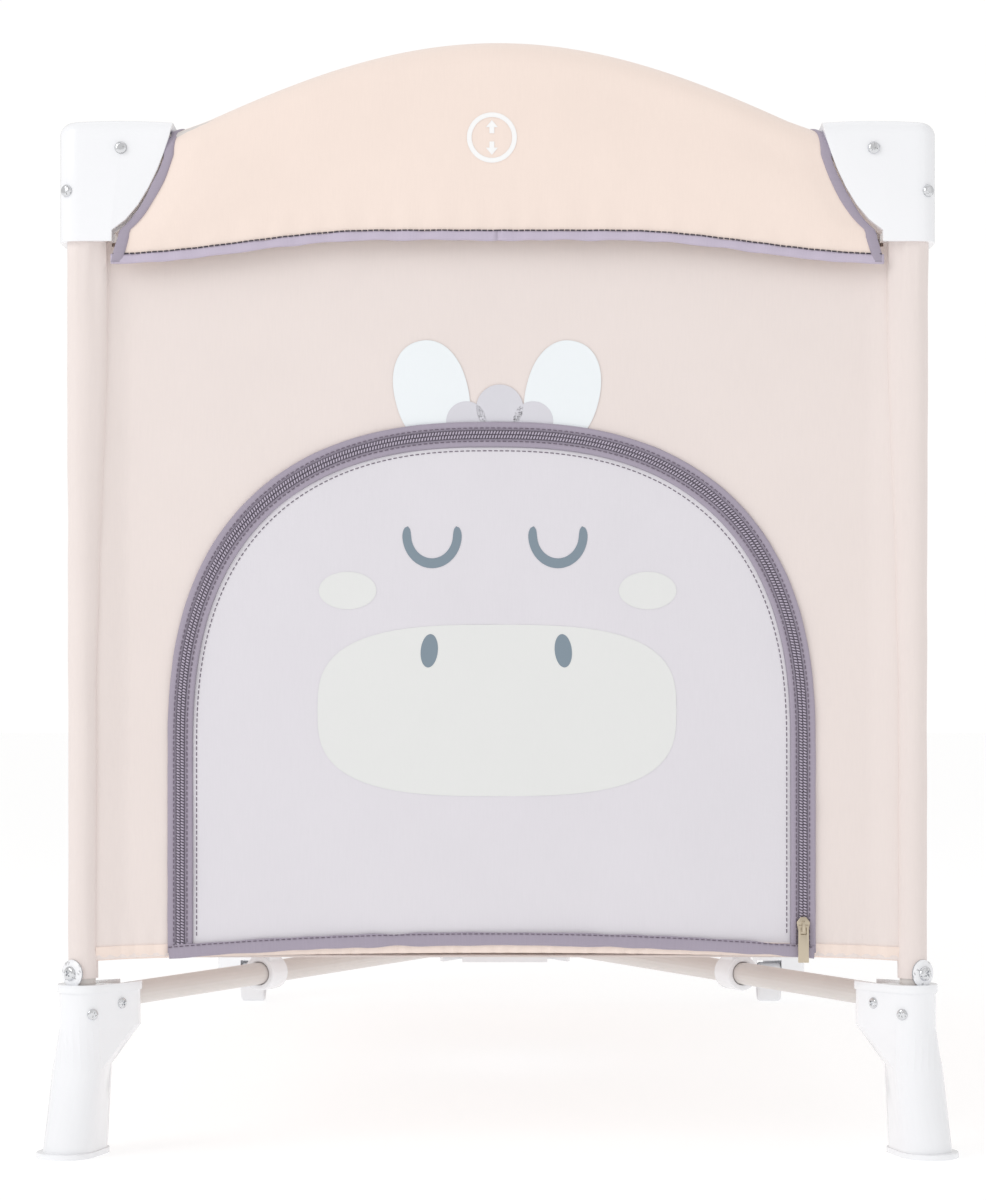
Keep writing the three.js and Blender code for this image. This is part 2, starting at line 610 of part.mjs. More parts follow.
// A wall panel runs from post to post, and is narrower between the corner caps.
function wallPanel(half, shoulder) {
  const step = CAP_TOP - CAP_HEIGHT - CAP_GAP;
  return carry([
    [-half, WALL_BOTTOM], [half, WALL_BOTTOM], [half, step], [shoulder, step],
    [shoulder, WALL_TOP], [-shoulder, WALL_TOP], [-shoulder, step], [-half, step],
  ], -CLOTH / 2, CLOTH / 2);
}

function frontWall() {
  const panel = wallPanel(WALL_HALF_X, CAP_X - CAP_ARM - CAP_GAP).translate(0, -WALL_Y, 0);
  const doorway = carry(doorOutline(TAPE_WIDTH / 2, WALL_BOTTOM - 5), -WALL_Y - 5, -WALL_Y + 5);
  return cut(panel, doorway);
}

function rearWall() {
  return wallPanel(WALL_HALF_X, CAP_X - CAP_ARM - CAP_GAP).translate(0, WALL_Y, 0);
}

function sideWall() {
  return sideways(wallPanel(WALL_HALF_Y, CAP_Y - CAP_ARM - CAP_GAP)).translate(-WALL_X, 0, 0);
}

function doorFlap() {
  return carry(doorOutline(0, DOOR_BOTTOM), -WALL_Y - CLOTH / 2, -WALL_Y + CLOTH / 2);
}

function zipTape() {
  const back = -WALL_Y - CLOTH / 2 - CLOTH_GAP;
  const outer = carry(doorOutline(TAPE_INNER + TAPE_WIDTH, DOOR_BOTTOM), back - TAPE_THICK, back);
  return cut(outer, carry(doorOutline(TAPE_INNER, DOOR_BOTTOM - 10), back - 10, back + 10));
}

const ZIP_FACE = -WALL_Y - CLOTH / 2 - CLOTH_GAP - TAPE_THICK - CLOTH_GAP;

function zipStop() {
  return block(SLIDER_X - 4, SLIDER_X + 4, ZIP_FACE - 1.6, ZIP_FACE, SLIDER_Z - 17, SLIDER_Z - 12);
}

function zipSlider() {
  const body = carry([
    [SLIDER_X - 3, SLIDER_Z - 8], [SLIDER_X + 3, SLIDER_Z - 8], [SLIDER_X + 5, SLIDER_Z + 4],
    [SLIDER_X + 2, SLIDER_Z + 8], [SLIDER_X - 2, SLIDER_Z + 8], [SLIDER_X - 5, SLIDER_Z + 4],
  ], ZIP_FACE - 3, ZIP_FACE);
  const bridge = block(SLIDER_X - 1.2, SLIDER_X + 1.2, ZIP_FACE - 7, ZIP_FACE - 2.5, SLIDER_Z - 3, SLIDER_Z + 5);
  const eye = block(SLIDER_X - 5, SLIDER_X + 5, ZIP_FACE - 5.4, ZIP_FACE - 3, SLIDER_Z - 1, SLIDER_Z + 3.2);
  return cut(join(body, bridge), eye);
}

function zipPull() {
  const outline = [
    [SLIDER_X - 4, SLIDER_Z + 1.9], [SLIDER_X - 4, SLIDER_Z - 26],
    [SLIDER_X + 4, SLIDER_Z - 26], [SLIDER_X + 4, SLIDER_Z + 1.9],
  ];
  const plate = carry(outline, ZIP_FACE - 4.85, ZIP_FACE - 3.55);
  const eye = block(SLIDER_X - 2.2, SLIDER_X + 2.2, ZIP_FACE - 10, ZIP_FACE, SLIDER_Z - 5, SLIDER_Z + 0.3);
  return cut(plate, eye);
}

// Front view of a cover: arched or straight on top, and cut away around the caps.
function coverOutline(halfLength, top) {
  const shift = halfLength - CAP_X;
  const edge = capEdge(COVER_GAP, 14)
    .map(([x, z]) => [x - shift, z])
    .filter(([x, z]) => x > -halfLength + 38 && z < top(x) - 1);
  const corner = edge.at(-1)[0];
  const steps = 28;
  const start = edge[0][0];
  const crown = Array.from({ length: steps + 1 }, (_, i) => {
    const x = start - (2 * start * i) / steps;
    return [x, top(x)];
  });
  const right = edge.map(([x, z]) => [-x, z]).reverse();
  return [[corner, COVER_BOTTOM], [-corner, COVER_BOTTOM], ...right, ...crown.reverse(), ...edge];
}

// A cover is a channel: outer skin, crown and a shorter inner skin. Drawn for the front.
function railCover(halfLength, outerFace, halfSpan, rise) {
  const top = (x) => RAIL_HEIGHT + COVER_ROUND + (rise ? rise(-Math.abs(x), halfSpan) : 0);
  const outline = coverOutline(halfLength, top);
  const front = -outerFace - 1.4;
  const body = carry(outline, front, front + COVER_THICK);
  const steps = 28;
  const crown = Array.from({ length: steps + 1 }, (_, i) => {
    const x = halfLength - (2 * halfLength * i) / steps;
    return [x, top(x) - CLOTH];
  });
  const hollow = carry(
    [[-halfLength, COVER_BOTTOM - 10], [halfLength, COVER_BOTTOM - 10], ...crown],
    front + CLOTH, front + COVER_THICK - CLOTH,
  );
  const innerEnd = halfLength - CAP_ARM - COVER_GAP - 2;
  const trims = [-1, 1].map((s) => block(
    Math.min(s * innerEnd, s * halfLength), Math.max(s * innerEnd, s * halfLength),
    front + COVER_THICK - 2 * CLOTH, front + COVER_THICK + 5, COVER_BOTTOM - 10, CAP_TOP + 100,
  ));
  return cut(body, hollow, ...trims);
}

function floorFabric() {
  return block(-WALL_HALF_X, WALL_HALF_X, -WALL_HALF_Y, WALL_HALF_Y, FLOOR_TOP - CLOTH, FLOOR_TOP);
}

function mattress() {
  const [hx, hy, r] = [WALL_X - MATTRESS_SIDE_GAP, WALL_Y - MATTRESS_END_GAP, 12];
  const plan = [[1, 1, 0], [-1, 1, 1], [-1, -1, 2], [1, -1, 3]].flatMap(([sx, sy, turn]) => (
    Array.from({ length: 5 }, (_, i) => {
      const t = (Math.PI / 2) * (turn + i / 4);
      return [sx * (hx - r) + r * Math.cos(t), sy * (hy - r) + r * Math.sin(t)];
    })));
  return raise(plan, FLOOR_TOP + CLOTH_GAP, FLOOR_TOP + CLOTH_GAP + MATTRESS_THICK);
}

// ---- assembly -----------------------------------------------------------
const playpen = new THREE.Group();

function add(name, geometry, material) {
  const mesh = new THREE.Mesh(geometry, material);
  mesh.name = name;
  playpen.add(mesh);
}

const leftPost = post();
const leftTube = baseTube();
const leftBracket = baseBracket();
const frontLegShape = frontLeg();
const rearLegShape = rearLeg();
const wheelShape = wheel();
const axleShape = axle();
// Caps differ in which side of the rail plane their halves run: left and front halves run outside.
const corners = [
  ['front', 'left', 1, 1], ['front', 'right', -1, 1],
  ['rear', 'left', 1, -1], ['rear', 'right', -1, -1],
];
for (const [end, side, sx, sy] of corners) {
  const leg = end === 'front' ? frontLegShape : rearLegShape;
  add(`leg_${end}_${side}`, mirrored(leg, sx, 1), WHITE_PLASTIC);
  add(`post_${end}_${side}`, mirrored(leftPost, sx, sy), PAINTED_STEEL);
  const cap = cornerCap(sx > 0 ? -1 : 1, sy > 0 ? -1 : 1);
  add(`corner_cap_${end}_${side}`, mirrored(cap, sx, sy), WHITE_PLASTIC);
  add(`base_tube_${end}_${side}`, mirrored(leftTube, sx, sy), PAINTED_STEEL);
  add(`base_bracket_${end}_${side}`, mirrored(leftBracket, sx, sy), WHITE_PLASTIC);
}
for (const [side, sx] of [['left', 1], ['right', -1]]) {
  add(`wheel_${side}`, mirrored(wheelShape, sx, 1), GREY_RUBBER);
  add(`wheel_axle_${side}`, mirrored(axleShape, sx, 1), BRIGHT_STEEL);
}
add('hub', hub(), WHITE_PLASTIC);
add('hub_strap', hubStrap(), WEBBING);

// End rails: the left half runs on the outer side of the lock plate, the right half inside it.
const endHalf = halfRail(HALF_SPAN_X, END_LOCK_PIVOT, archRise);
for (const [end, sy] of [['front', -1], ['rear', 1]]) {
  const outside = sy * (RAIL_Y + RAIL_OFFSET);
  const inside = sy * (RAIL_Y - RAIL_OFFSET);
  add(`end_rail_${end}_left`, endHalf.clone().translate(0, outside, 0), PAINTED_STEEL);
  add(`end_rail_${end}_right`, mirrored(endHalf, -1, 1).translate(0, inside, 0), PAINTED_STEEL);
  const plate = mirrored(lockPlate(END_LOCK_PIVOT, END_LOCK_ABOVE), 1, -sy);
  add(`rail_lock_${end}`, plate.translate(0, sy * RAIL_Y, 0), WHITE_PLASTIC);
  add(`release_button_${end}`, releaseButton().translate(0, sy * RAIL_Y, 0), WHITE_PLASTIC);
}

// Side rails are straight: the front half runs on the outer side, the rear half inside.
const sideHalf = sideways(halfRail(HALF_SPAN_Y, SIDE_LOCK_PIVOT, null));
for (const [side, sx] of [['left', -1], ['right', 1]]) {
  const outside = sx * (RAIL_X + RAIL_OFFSET);
  const inside = sx * (RAIL_X - RAIL_OFFSET);
  add(`side_rail_${side}_front`, sideHalf.clone().translate(outside, 0, 0), PAINTED_STEEL);
  add(`side_rail_${side}_rear`, mirrored(sideHalf, 1, -1).translate(inside, 0, 0), PAINTED_STEEL);
  const plate = mirrored(sideways(lockPlate(SIDE_LOCK_PIVOT, SIDE_LOCK_ABOVE)), -sx, 1);
  add(`rail_lock_${side}`, plate.translate(sx * RAIL_X, 0, 0), WHITE_PLASTIC);
  add(`release_button_${side}`, sideways(releaseButton()).translate(sx * RAIL_X, 0, 0), WHITE_PLASTIC);
}

add('wall_front', frontWall(), PINK_CLOTH);
add('wall_rear', rearWall(), PINK_CLOTH);
add('wall_left', sideWall(), PINK_CLOTH);
add('wall_right', mirrored(sideWall(), -1, 1), PINK_CLOTH);
add('door_flap', doorFlap(), LILAC_CLOTH);
add('zip_tape', zipTape(), PURPLE_TAPE);
add('zip_stop', zipStop(), BRIGHT_STEEL);
add('zip_slider', zipSlider(), BRIGHT_STEEL);
add('zip_pull', zipPull(), BRIGHT_STEEL);

const endCover = railCover(CAP_X, CAP_Y, HALF_SPAN_X, archRise);
add('rail_cover_front', endCover, PEACH_CLOTH);
add('rail_cover_rear', mirrored(endCover, 1, -1), PEACH_CLOTH);
const sideCover = sideways(railCover(CAP_Y, CAP_X, HALF_SPAN_Y, null));
add('rail_cover_left', sideCover, PEACH_CLOTH);
add('rail_cover_right', mirrored(sideCover, -1, 1), PEACH_CLOTH);
add('floor_fabric', floorFabric(), PEACH_CLOTH);
add('mattress', mattress(), PEACH_CLOTH);

export default playpen;
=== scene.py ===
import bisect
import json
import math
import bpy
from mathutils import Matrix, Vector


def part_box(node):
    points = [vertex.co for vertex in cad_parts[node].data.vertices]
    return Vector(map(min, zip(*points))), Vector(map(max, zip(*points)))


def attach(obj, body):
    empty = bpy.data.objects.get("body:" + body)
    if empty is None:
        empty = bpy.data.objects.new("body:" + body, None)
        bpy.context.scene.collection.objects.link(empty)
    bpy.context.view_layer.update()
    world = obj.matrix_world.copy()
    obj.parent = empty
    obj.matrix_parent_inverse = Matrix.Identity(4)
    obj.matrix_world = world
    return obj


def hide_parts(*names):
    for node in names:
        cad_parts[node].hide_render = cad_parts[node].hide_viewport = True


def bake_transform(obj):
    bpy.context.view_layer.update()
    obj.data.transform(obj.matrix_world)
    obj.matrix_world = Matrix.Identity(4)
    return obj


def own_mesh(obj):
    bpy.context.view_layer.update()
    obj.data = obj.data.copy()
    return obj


bl_info = {
    "name": "Folding Travel Cot",
    "version": (1, 0, 0),
    "blender": (4, 5, 0),
    "location": "View3D > Sidebar > Cot",
    "description": "Fabric, padding, fittings and finishes of a folding travel cot around its frame",
    "category": "Object",
}

import bmesh
import bpy
from mathutils import Matrix, Vector, noise

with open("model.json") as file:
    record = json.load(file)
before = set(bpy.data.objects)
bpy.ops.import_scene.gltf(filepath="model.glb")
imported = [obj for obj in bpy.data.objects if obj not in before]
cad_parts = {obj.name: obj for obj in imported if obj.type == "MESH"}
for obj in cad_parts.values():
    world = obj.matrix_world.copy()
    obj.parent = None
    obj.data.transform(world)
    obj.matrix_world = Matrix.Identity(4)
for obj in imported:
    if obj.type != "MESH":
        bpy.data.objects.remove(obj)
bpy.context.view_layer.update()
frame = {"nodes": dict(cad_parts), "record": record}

# ---- sizes read from the frame, in metres ----------------------------------
CAP_LO, CAP_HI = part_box("corner_cap_front_left")
POST_LO, POST_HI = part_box("post_front_left")
WALL_LO, WALL_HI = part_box("wall_front")
SIDE_LO, SIDE_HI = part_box("wall_left")
COVER_LO, COVER_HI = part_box("rail_cover_front")
SIDE_COVER_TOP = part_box("rail_cover_left")[1].z
DOOR_LO, DOOR_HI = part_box("door_flap")
FLOOR_LO, FLOOR_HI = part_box("floor_fabric")
MAT_LO, MAT_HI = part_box("mattress")

CAP_X = -CAP_LO.x
CAP_Y = -CAP_LO.y
CAP_TOP = CAP_HI.z
CAP_ARM = CAP_HI.x - CAP_LO.x
CAP_TALL = CAP_HI.z - CAP_LO.z

# The two powers of the curve that cuts a cap's lower inner edge away, as in the frame.
CAP_CURVE_OUT = 3.0
CAP_CURVE_DOWN = 1.15

# Air between a cap and the cloth that is cut away round it.
CAP_GAP = 0.004
POST_X = -(POST_LO.x + POST_HI.x) / 2
POST_Y = -(POST_LO.y + POST_HI.y) / 2
POST_R = (POST_HI.x - POST_LO.x) / 2
WALL_D = -(WALL_LO.y + WALL_HI.y) / 2
SIDE_D = -(SIDE_LO.x + SIDE_HI.x) / 2
DOOR_HALF = DOOR_HI.x

# Where the door's straight sides end and its arch starts, and how square the arch is.
DOOR_START = 0.304
DOOR_CURVE = 2.5

# The door's outline lies this far left of the middle, and its zip this far out from it.
DOOR_MIDDLE = -0.0045
DOOR_REACH = DOOR_HALF - DOOR_MIDDLE
TAPE_LINE = 0.009
TAPE_OUT = 0.0026

# From a cap's outer face to the pivot of a rail.
RAIL_PIVOT = 0.047

# Each side's direction along it and out from the cot's middle, and the body that carries each side's wall.
SIDES = {
    "front": (Vector((1, 0, 0)), Vector((0, -1, 0))),
    "rear": (Vector((-1, 0, 0)), Vector((0, 1, 0))),
    "left": (Vector((0, -1, 0)), Vector((-1, 0, 0))),
    "right": (Vector((0, 1, 0)), Vector((1, 0, 0))),
}
WALL_BODY = {
    "front": "corner_front_left",
    "rear": "corner_rear_left",
    "left": "corner_front_left",
    "right": "corner_front_right",
}


def at(side, along, out, height):
    """The point that far along a side, out from the middle of the cot, and up."""
    a, o = SIDES[side]
    return a * along + o * out + Vector((0, 0, height))


def smooth(low, high, value):
    """0 below low, 1 above high, and an even curve between."""
    t = min(max((value - low) / (high - low), 0.0), 1.0)
    return t * t * (3 - 2 * t)


def ripple(x, y, size, seed):
    """Gentle unevenness from -1 to 1, with bumps about size across."""
    return noise.noise(Vector((x / size, y / size, seed)))


def signed_power(value, power):
    """The size of a value raised to a power, with the value's own sign."""
    return math.copysign(abs(value) ** power, value)


def superellipse(t, half, rise, power):
    """A point on the upper half of a rounded rectangle's outline."""
    return half * signed_power(math.cos(t), 2 / power), rise * abs(math.sin(t)) ** (2 / power)


# ---- properties -------------------------------------------------------------
def colour(name, description, rgb):
    linear = [c / 12.92 if c <= 0.04045 else ((c + 0.055) / 1.055) ** 2.4 for c in (v / 255 for v in rgb)]
    return bpy.props.FloatVectorProperty(
        name=name, description=description, subtype="COLOR", size=3, min=0, max=1, default=linear
    )


class CotFinishes(bpy.types.PropertyGroup):
    """Colours of the cloth, tape and plastic."""

    cover: colour("Rail cover", "Satin cloth over the rails", (246, 229, 219))
    wall: colour("Wall", "Cloth of the walls and post sleeves", (237, 226, 222))
    door: colour("Door", "Cloth of the crawl-through door", (226, 223, 229))
    tape: colour("Tape", "Bindings and zip tape", (170, 161, 177))
    thread: colour("Thread", "Stitching", (112, 100, 116))
    plastic: colour("Plastic", "Corners, legs and hub", (246, 247, 250))
    tube: colour("Tube", "Painted steel tubes", (222, 216, 212))
    slate: colour("Slate print", "Closed eyes and nostrils of the printed face", (131, 146, 158))
    muzzle: colour("Muzzle print", "Muzzle and cheeks of the printed face", (230, 231, 230))
    ear: colour("Ear print", "Ears of the printed face", (240, 245, 248))
    tuft: colour("Tuft print", "Hair tuft of the printed face", (217, 216, 223))


class CotSizes(bpy.types.PropertyGroup):
    """Sizes of the soft goods."""

    cloth: bpy.props.FloatProperty(
        name="Cloth", description="Thickness of a wall's cloth", default=0.0012, unit="LENGTH"
    )
    binding: bpy.props.FloatProperty(
        name="Binding", description="Width of the grey-purple edge binding", default=0.0075, unit="LENGTH"
    )
    binding_thick: bpy.props.FloatProperty(
        name="Binding thickness", description="Thickness of the edge binding", default=0.0024, unit="LENGTH"
    )
    sleeve: bpy.props.FloatProperty(
        name="Sleeve slack", description="Gap from a post to its sleeve", default=0.0008, unit="LENGTH"
    )
    tooth_pitch: bpy.props.FloatProperty(
        name="Zip pitch", description="Distance between the zip's coils", default=0.0022, unit="LENGTH"
    )
    pad_swell: bpy.props.FloatProperty(
        name="Mattress swell", description="Most that a mattress panel's face may rise",
        default=0.006, unit="LENGTH",
    )


# ---- mesh helpers -------------------------------------------------------------
def new_object(name, points, faces, uvs=None):
    """A smooth-shaded mesh object. uvs holds one (u, v) in metres for each point."""
    mesh = bpy.data.meshes.new(name)
    mesh.from_pydata([tuple(p) for p in points], [], faces)
    if uvs:
        layer = mesh.uv_layers.new(name="cloth")
        for loop in mesh.loops:
            layer.data[loop.index].uv = uvs[loop.vertex_index]
    mesh.polygons.foreach_set("use_smooth", [True] * len(mesh.polygons))
    mesh.update()
    obj = bpy.data.objects.new(name, mesh)
    bpy.context.scene.collection.objects.link(obj)
    return obj


def grid(name, rows, uvs=None, wrap=False, centre=None):
    """A sheet through rows of points. With wrap, the last column joins the first.

    centre = (point, uv) closes the first row round that point.
    """
    wide = len(rows[0])
    points = [p for row in rows for p in row]
    flat = [uv for row in uvs for uv in row] if uvs else None
    faces = []
    for r in range(len(rows) - 1):
        for c in range(wide if wrap else wide - 1):
            d = (c + 1) % wide
            faces.append((r * wide + c, r * wide + d, (r + 1) * wide + d, (r + 1) * wide + c))
    if centre:
        faces += [(len(points), (c + 1) % wide, c) for c in range(wide)]
        points.append(centre[0])
        flat.append(centre[1])
    return new_object(name, points, faces, flat)


def select_only(*objects):
    bpy.ops.object.select_all(action="DESELECT")
    for o in objects:
        o.select_set(True)
    bpy.context.view_layer.objects.active = objects[0]


def apply_modifier(obj, kind, **settings):
    modifier = obj.modifiers.new(kind.title(), kind)
    for key, value in settings.items():
        setattr(modifier, key, value)
    select_only(obj)
    bpy.ops.object.modifier_apply(modifier=modifier.name)


def thicken(obj, thickness, offset=0.0):
    """Gives a cloth its thickness, with edges that stay crisp."""
    apply_modifier(obj, "SOLIDIFY", thickness=thickness, offset=offset, use_rim=True)
    select_only(obj)
    bpy.ops.object.shade_smooth_by_angle(angle=math.radians(50))


def join_all(name, objects):
    select_only(*objects)
    bpy.ops.object.join()
    objects[0].name = name
    objects[0].data.name = name
    return objects[0]


def strip(name, path, across, out, width, thick, seed=0, wrinkle=0.0):
    """A flat binding with rounded edges along path. across and out give its two directions at each point."""
    section = [(math.cos(t), math.sin(t)) for t in (2 * math.pi * i / 10 for i in range(10))]
    rows, uvs, run = [], [], 0.0
    for i, p in enumerate(path):
        if i:
            run += (path[i] - path[i - 1]).length
        w = width / 2 * (1 + wrinkle * ripple(run, seed, 0.02, seed + 3.1))
        h = thick / 2
        lift = wrinkle * 0.0012 * ripple(run, seed, 0.013, seed)
        rows.append([
            p + across[i] * (w * signed_power(c, 0.7)) + out[i] * (h * signed_power(s, 0.8) + lift)
            for c, s in section
        ])
        uvs.append([(run, width * k / 10) for k in range(10)])
    obj = grid(name, rows, uvs, wrap=True)
    close_ends(obj)
    face_out(obj)
    return obj


def close_ends(obj):
    select_only(obj)
    bpy.ops.object.mode_set(mode="EDIT")
    bpy.ops.mesh.select_mode(type="EDGE")
    bpy.ops.mesh.select_all(action="DESELECT")
    bpy.ops.mesh.select_non_manifold()
    bpy.ops.mesh.fill_holes(sides=0)
    bpy.ops.object.mode_set(mode="OBJECT")


def face_out(obj):
    select_only(obj)
    bpy.ops.object.mode_set(mode="EDIT")
    bpy.ops.mesh.select_all(action="SELECT")
    bpy.ops.mesh.normals_make_consistent(inside=False)
    bpy.ops.object.mode_set(mode="OBJECT")


def finished_copy(node, name, bevel, segments=3, angle=35):
    """A CAD node's own shape with its edges rounded, as a moulding has them."""
    source = frame["nodes"][node]
    obj = bpy.data.objects.new(name, source.data.copy())
    obj.data.materials.clear()
    bpy.context.scene.collection.objects.link(obj)
    select_only(obj)
    bpy.ops.object.mode_set(mode="EDIT")
    bpy.ops.mesh.select_all(action="SELECT")
    bpy.ops.mesh.remove_doubles(threshold=0.00002)
    bpy.ops.mesh.dissolve_limited(angle_limit=math.radians(0.6))
    bpy.ops.object.mode_set(mode="OBJECT")
    if bevel:
        apply_modifier(
            obj, "BEVEL", width=bevel, segments=segments, limit_method="ANGLE",
            angle_limit=math.radians(angle), use_clamp_overlap=True, harden_normals=False,
        )
    select_only(obj)
    bpy.ops.object.shade_smooth_by_angle(angle=math.radians(38))
    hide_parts(node)
    return obj


def dress(obj, material):
    obj.data.materials.clear()
    obj.data.materials.append(bpy.data.materials[material])
    return obj


def gather(obj, side):
    """Attaches a piece of a wall to the body its wall rides on, with a mesh of its own."""
    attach(obj, WALL_BODY[side])
    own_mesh(obj)


# ---- shader groups and materials ------------------------------------------------
def group(name, inputs, outputs):
    tree = bpy.data.node_groups.new(name, "ShaderNodeTree")
    for label, kind, default in inputs:
        socket = tree.interface.new_socket(label, in_out="INPUT", socket_type=kind)
        if default is not None:
            socket.default_value = default
    for label, kind in outputs:
        tree.interface.new_socket(label, in_out="OUTPUT", socket_type=kind)
    return tree, tree.nodes.new("NodeGroupInput"), tree.nodes.new("NodeGroupOutput")


def noise_node(tree, vector, scale, detail=2.0, rough=0.5):
    node = tree.nodes.new("ShaderNodeTexNoise")
    node.inputs["Detail"].default_value = detail
    node.inputs["Roughness"].default_value = rough
    if hasattr(scale, "links"):
        tree.links.new(scale, node.inputs["Scale"])
    else:
        node.inputs["Scale"].default_value = scale
    tree.links.new(vector, node.inputs["Vector"])
    return node.outputs["Fac"]


def math_node(tree, operation, a, b=None, c=None):
    node = tree.nodes.new("ShaderNodeMath")
    node.operation = operation
    for slot, value in zip(node.inputs, (a, b, c)):
        if value is None:
            continue
        if isinstance(value, (int, float)):
            slot.default_value = value
        else:
            tree.links.new(value, slot)
    return node.outputs[0]


def build_weave_group():
    """Fine over-and-under threads, slubs and soft crinkles from a cloth's own metres."""
    tree, given, result = group(
        "Woven cloth",
        [
            ("Vector", "NodeSocketVector", None),
            ("Thread", "NodeSocketFloat", 0.001),
            ("Crinkle", "NodeSocketFloat", 0.5),
        ],
        [("Tone", "NodeSocketFloat"), ("Height", "NodeSocketFloat")],
    )
    split = tree.nodes.new("ShaderNodeSeparateXYZ")
    tree.links.new(given.outputs["Vector"], split.inputs[0])
    turn = math_node(tree, "DIVIDE", 2 * math.pi, given.outputs["Thread"])
    warp = math_node(tree, "SINE", math_node(tree, "MULTIPLY", split.outputs["X"], turn))
    weft = math_node(tree, "SINE", math_node(tree, "MULTIPLY", split.outputs["Y"], turn))
    threads = math_node(tree, "MULTIPLY", warp, weft)
    broad = noise_node(tree, given.outputs["Vector"], 14.0, 3.0, 0.45)
    fine = noise_node(tree, given.outputs["Vector"], 90.0, 3.0, 0.6)
    stretch = tree.nodes.new("ShaderNodeMapping")
    stretch.inputs["Scale"].default_value = (900.0, 60.0, 1.0)
    tree.links.new(given.outputs["Vector"], stretch.inputs["Vector"])
    slub = noise_node(tree, stretch.outputs["Vector"], 1.0, 1.0, 0.5)
    rough = math_node(tree, "MULTIPLY_ADD", fine, 0.25, broad)
    folds = math_node(tree, "MULTIPLY", rough, given.outputs["Crinkle"])
    height = math_node(tree, "MULTIPLY_ADD", threads, 0.012, folds)
    tone = math_node(tree, "MULTIPLY", math_node(tree, "ADD", slub, broad), 0.5)
    tree.links.new(tone, result.inputs["Tone"])
    tree.links.new(height, result.inputs["Height"])


def build_moulding_group():
    """The faint orange peel and flow tone of moulded plastic and paint."""
    tree, given, result = group(
        "Moulded skin",
        [("Vector", "NodeSocketVector", None), ("Grain", "NodeSocketFloat", 700.0)],
        [("Tone", "NodeSocketFloat"), ("Height", "NodeSocketFloat")],
    )
    peel = noise_node(tree, given.outputs["Vector"], given.outputs["Grain"], 2.0, 0.5)
    flow = noise_node(tree, given.outputs["Vector"], 18.0, 2.0, 0.5)
    tree.links.new(flow, result.inputs["Tone"])
    tree.links.new(peel, result.inputs["Height"])


def start_material(name):
    mat = bpy.data.materials.new(name)
    mat.use_nodes = True
    tree = mat.node_tree
    shader = next(n for n in tree.nodes if n.type == "BSDF_PRINCIPLED")
    where = tree.nodes.new("ShaderNodeTexCoord")
    return mat, tree, shader, where


def tinted(tree, tone, rgb, spread):
    """rgb, a little darker where tone is low."""
    mix = tree.nodes.new("ShaderNodeMix")
    mix.data_type = "RGBA"
    mix.inputs["A"].default_value = [c * (1 - spread) for c in rgb] + [1]
    mix.inputs["B"].default_value = [min(1.0, c * (1 + spread * 0.4)) for c in rgb] + [1]
    tree.links.new(tone, mix.inputs["Factor"])
    return mix.outputs["Result"]


def cloth_material(name, rgb, thread=0.0011, crinkle=0.5, strength=0.35, rough=0.7, sheen=0.25, spread=0.05):
    mat, tree, shader, where = start_material(name)
    weave = tree.nodes.new("ShaderNodeGroup")
    weave.node_tree = bpy.data.node_groups["Woven cloth"]
    weave.inputs["Thread"].default_value = thread
    weave.inputs["Crinkle"].default_value = crinkle
    tree.links.new(where.outputs["UV"], weave.inputs["Vector"])
    tree.links.new(tinted(tree, weave.outputs["Tone"], rgb, spread), shader.inputs["Base Color"])
    bump = tree.nodes.new("ShaderNodeBump")
    bump.inputs["Strength"].default_value = strength
    bump.inputs["Distance"].default_value = 0.004
    tree.links.new(weave.outputs["Height"], bump.inputs["Height"])
    tree.links.new(bump.outputs["Normal"], shader.inputs["Normal"])
    shader.inputs["Roughness"].default_value = rough
    shader.inputs["Sheen Weight"].default_value = sheen
    shader.inputs["Sheen Roughness"].default_value = 0.45
    shader.inputs["Specular IOR Level"].default_value = 0.35
    return mat


def net_material(name, rgb):
    """Knitted net: small round holes between soft cords."""
    mat = cloth_material(name, rgb, thread=0.002, crinkle=0.1, strength=0.2)
    tree = mat.node_tree
    shader = next(n for n in tree.nodes if n.type == "BSDF_PRINCIPLED")
    where = next(n for n in tree.nodes if n.type == "TEX_COORD")
    split = tree.nodes.new("ShaderNodeSeparateXYZ")
    tree.links.new(where.outputs["UV"], split.inputs[0])
    turn = 2 * math.pi / 0.0032
    wave_u = math_node(tree, "SINE", math_node(tree, "MULTIPLY", split.outputs["X"], turn))
    wave_v = math_node(tree, "SINE", math_node(tree, "MULTIPLY", split.outputs["Y"], turn))
    both = math_node(tree, "MULTIPLY", wave_u, wave_v)
    tree.links.new(math_node(tree, "LESS_THAN", both, 0.16), shader.inputs["Alpha"])
    return mat


def hard_material(name, rgb, rough, metal=0.0, coat=0.0, grain=700.0, bump_strength=0.04, spread=0.02):
    mat, tree, shader, where = start_material(name)
    skin = tree.nodes.new("ShaderNodeGroup")
    skin.node_tree = bpy.data.node_groups["Moulded skin"]
    skin.inputs["Grain"].default_value = grain
    tree.links.new(where.outputs["Object"], skin.inputs["Vector"])
    tree.links.new(tinted(tree, skin.outputs["Tone"], rgb, spread), shader.inputs["Base Color"])
    bump = tree.nodes.new("ShaderNodeBump")
    bump.inputs["Strength"].default_value = bump_strength
    bump.inputs["Distance"].default_value = 0.0004
    tree.links.new(skin.outputs["Height"], bump.inputs["Height"])
    tree.links.new(bump.outputs["Normal"], shader.inputs["Normal"])
    shader.inputs["Roughness"].default_value = rough
    shader.inputs["Metallic"].default_value = metal
    shader.inputs["Coat Weight"].default_value = coat
    shader.inputs["Coat Roughness"].default_value = 0.08
    return mat


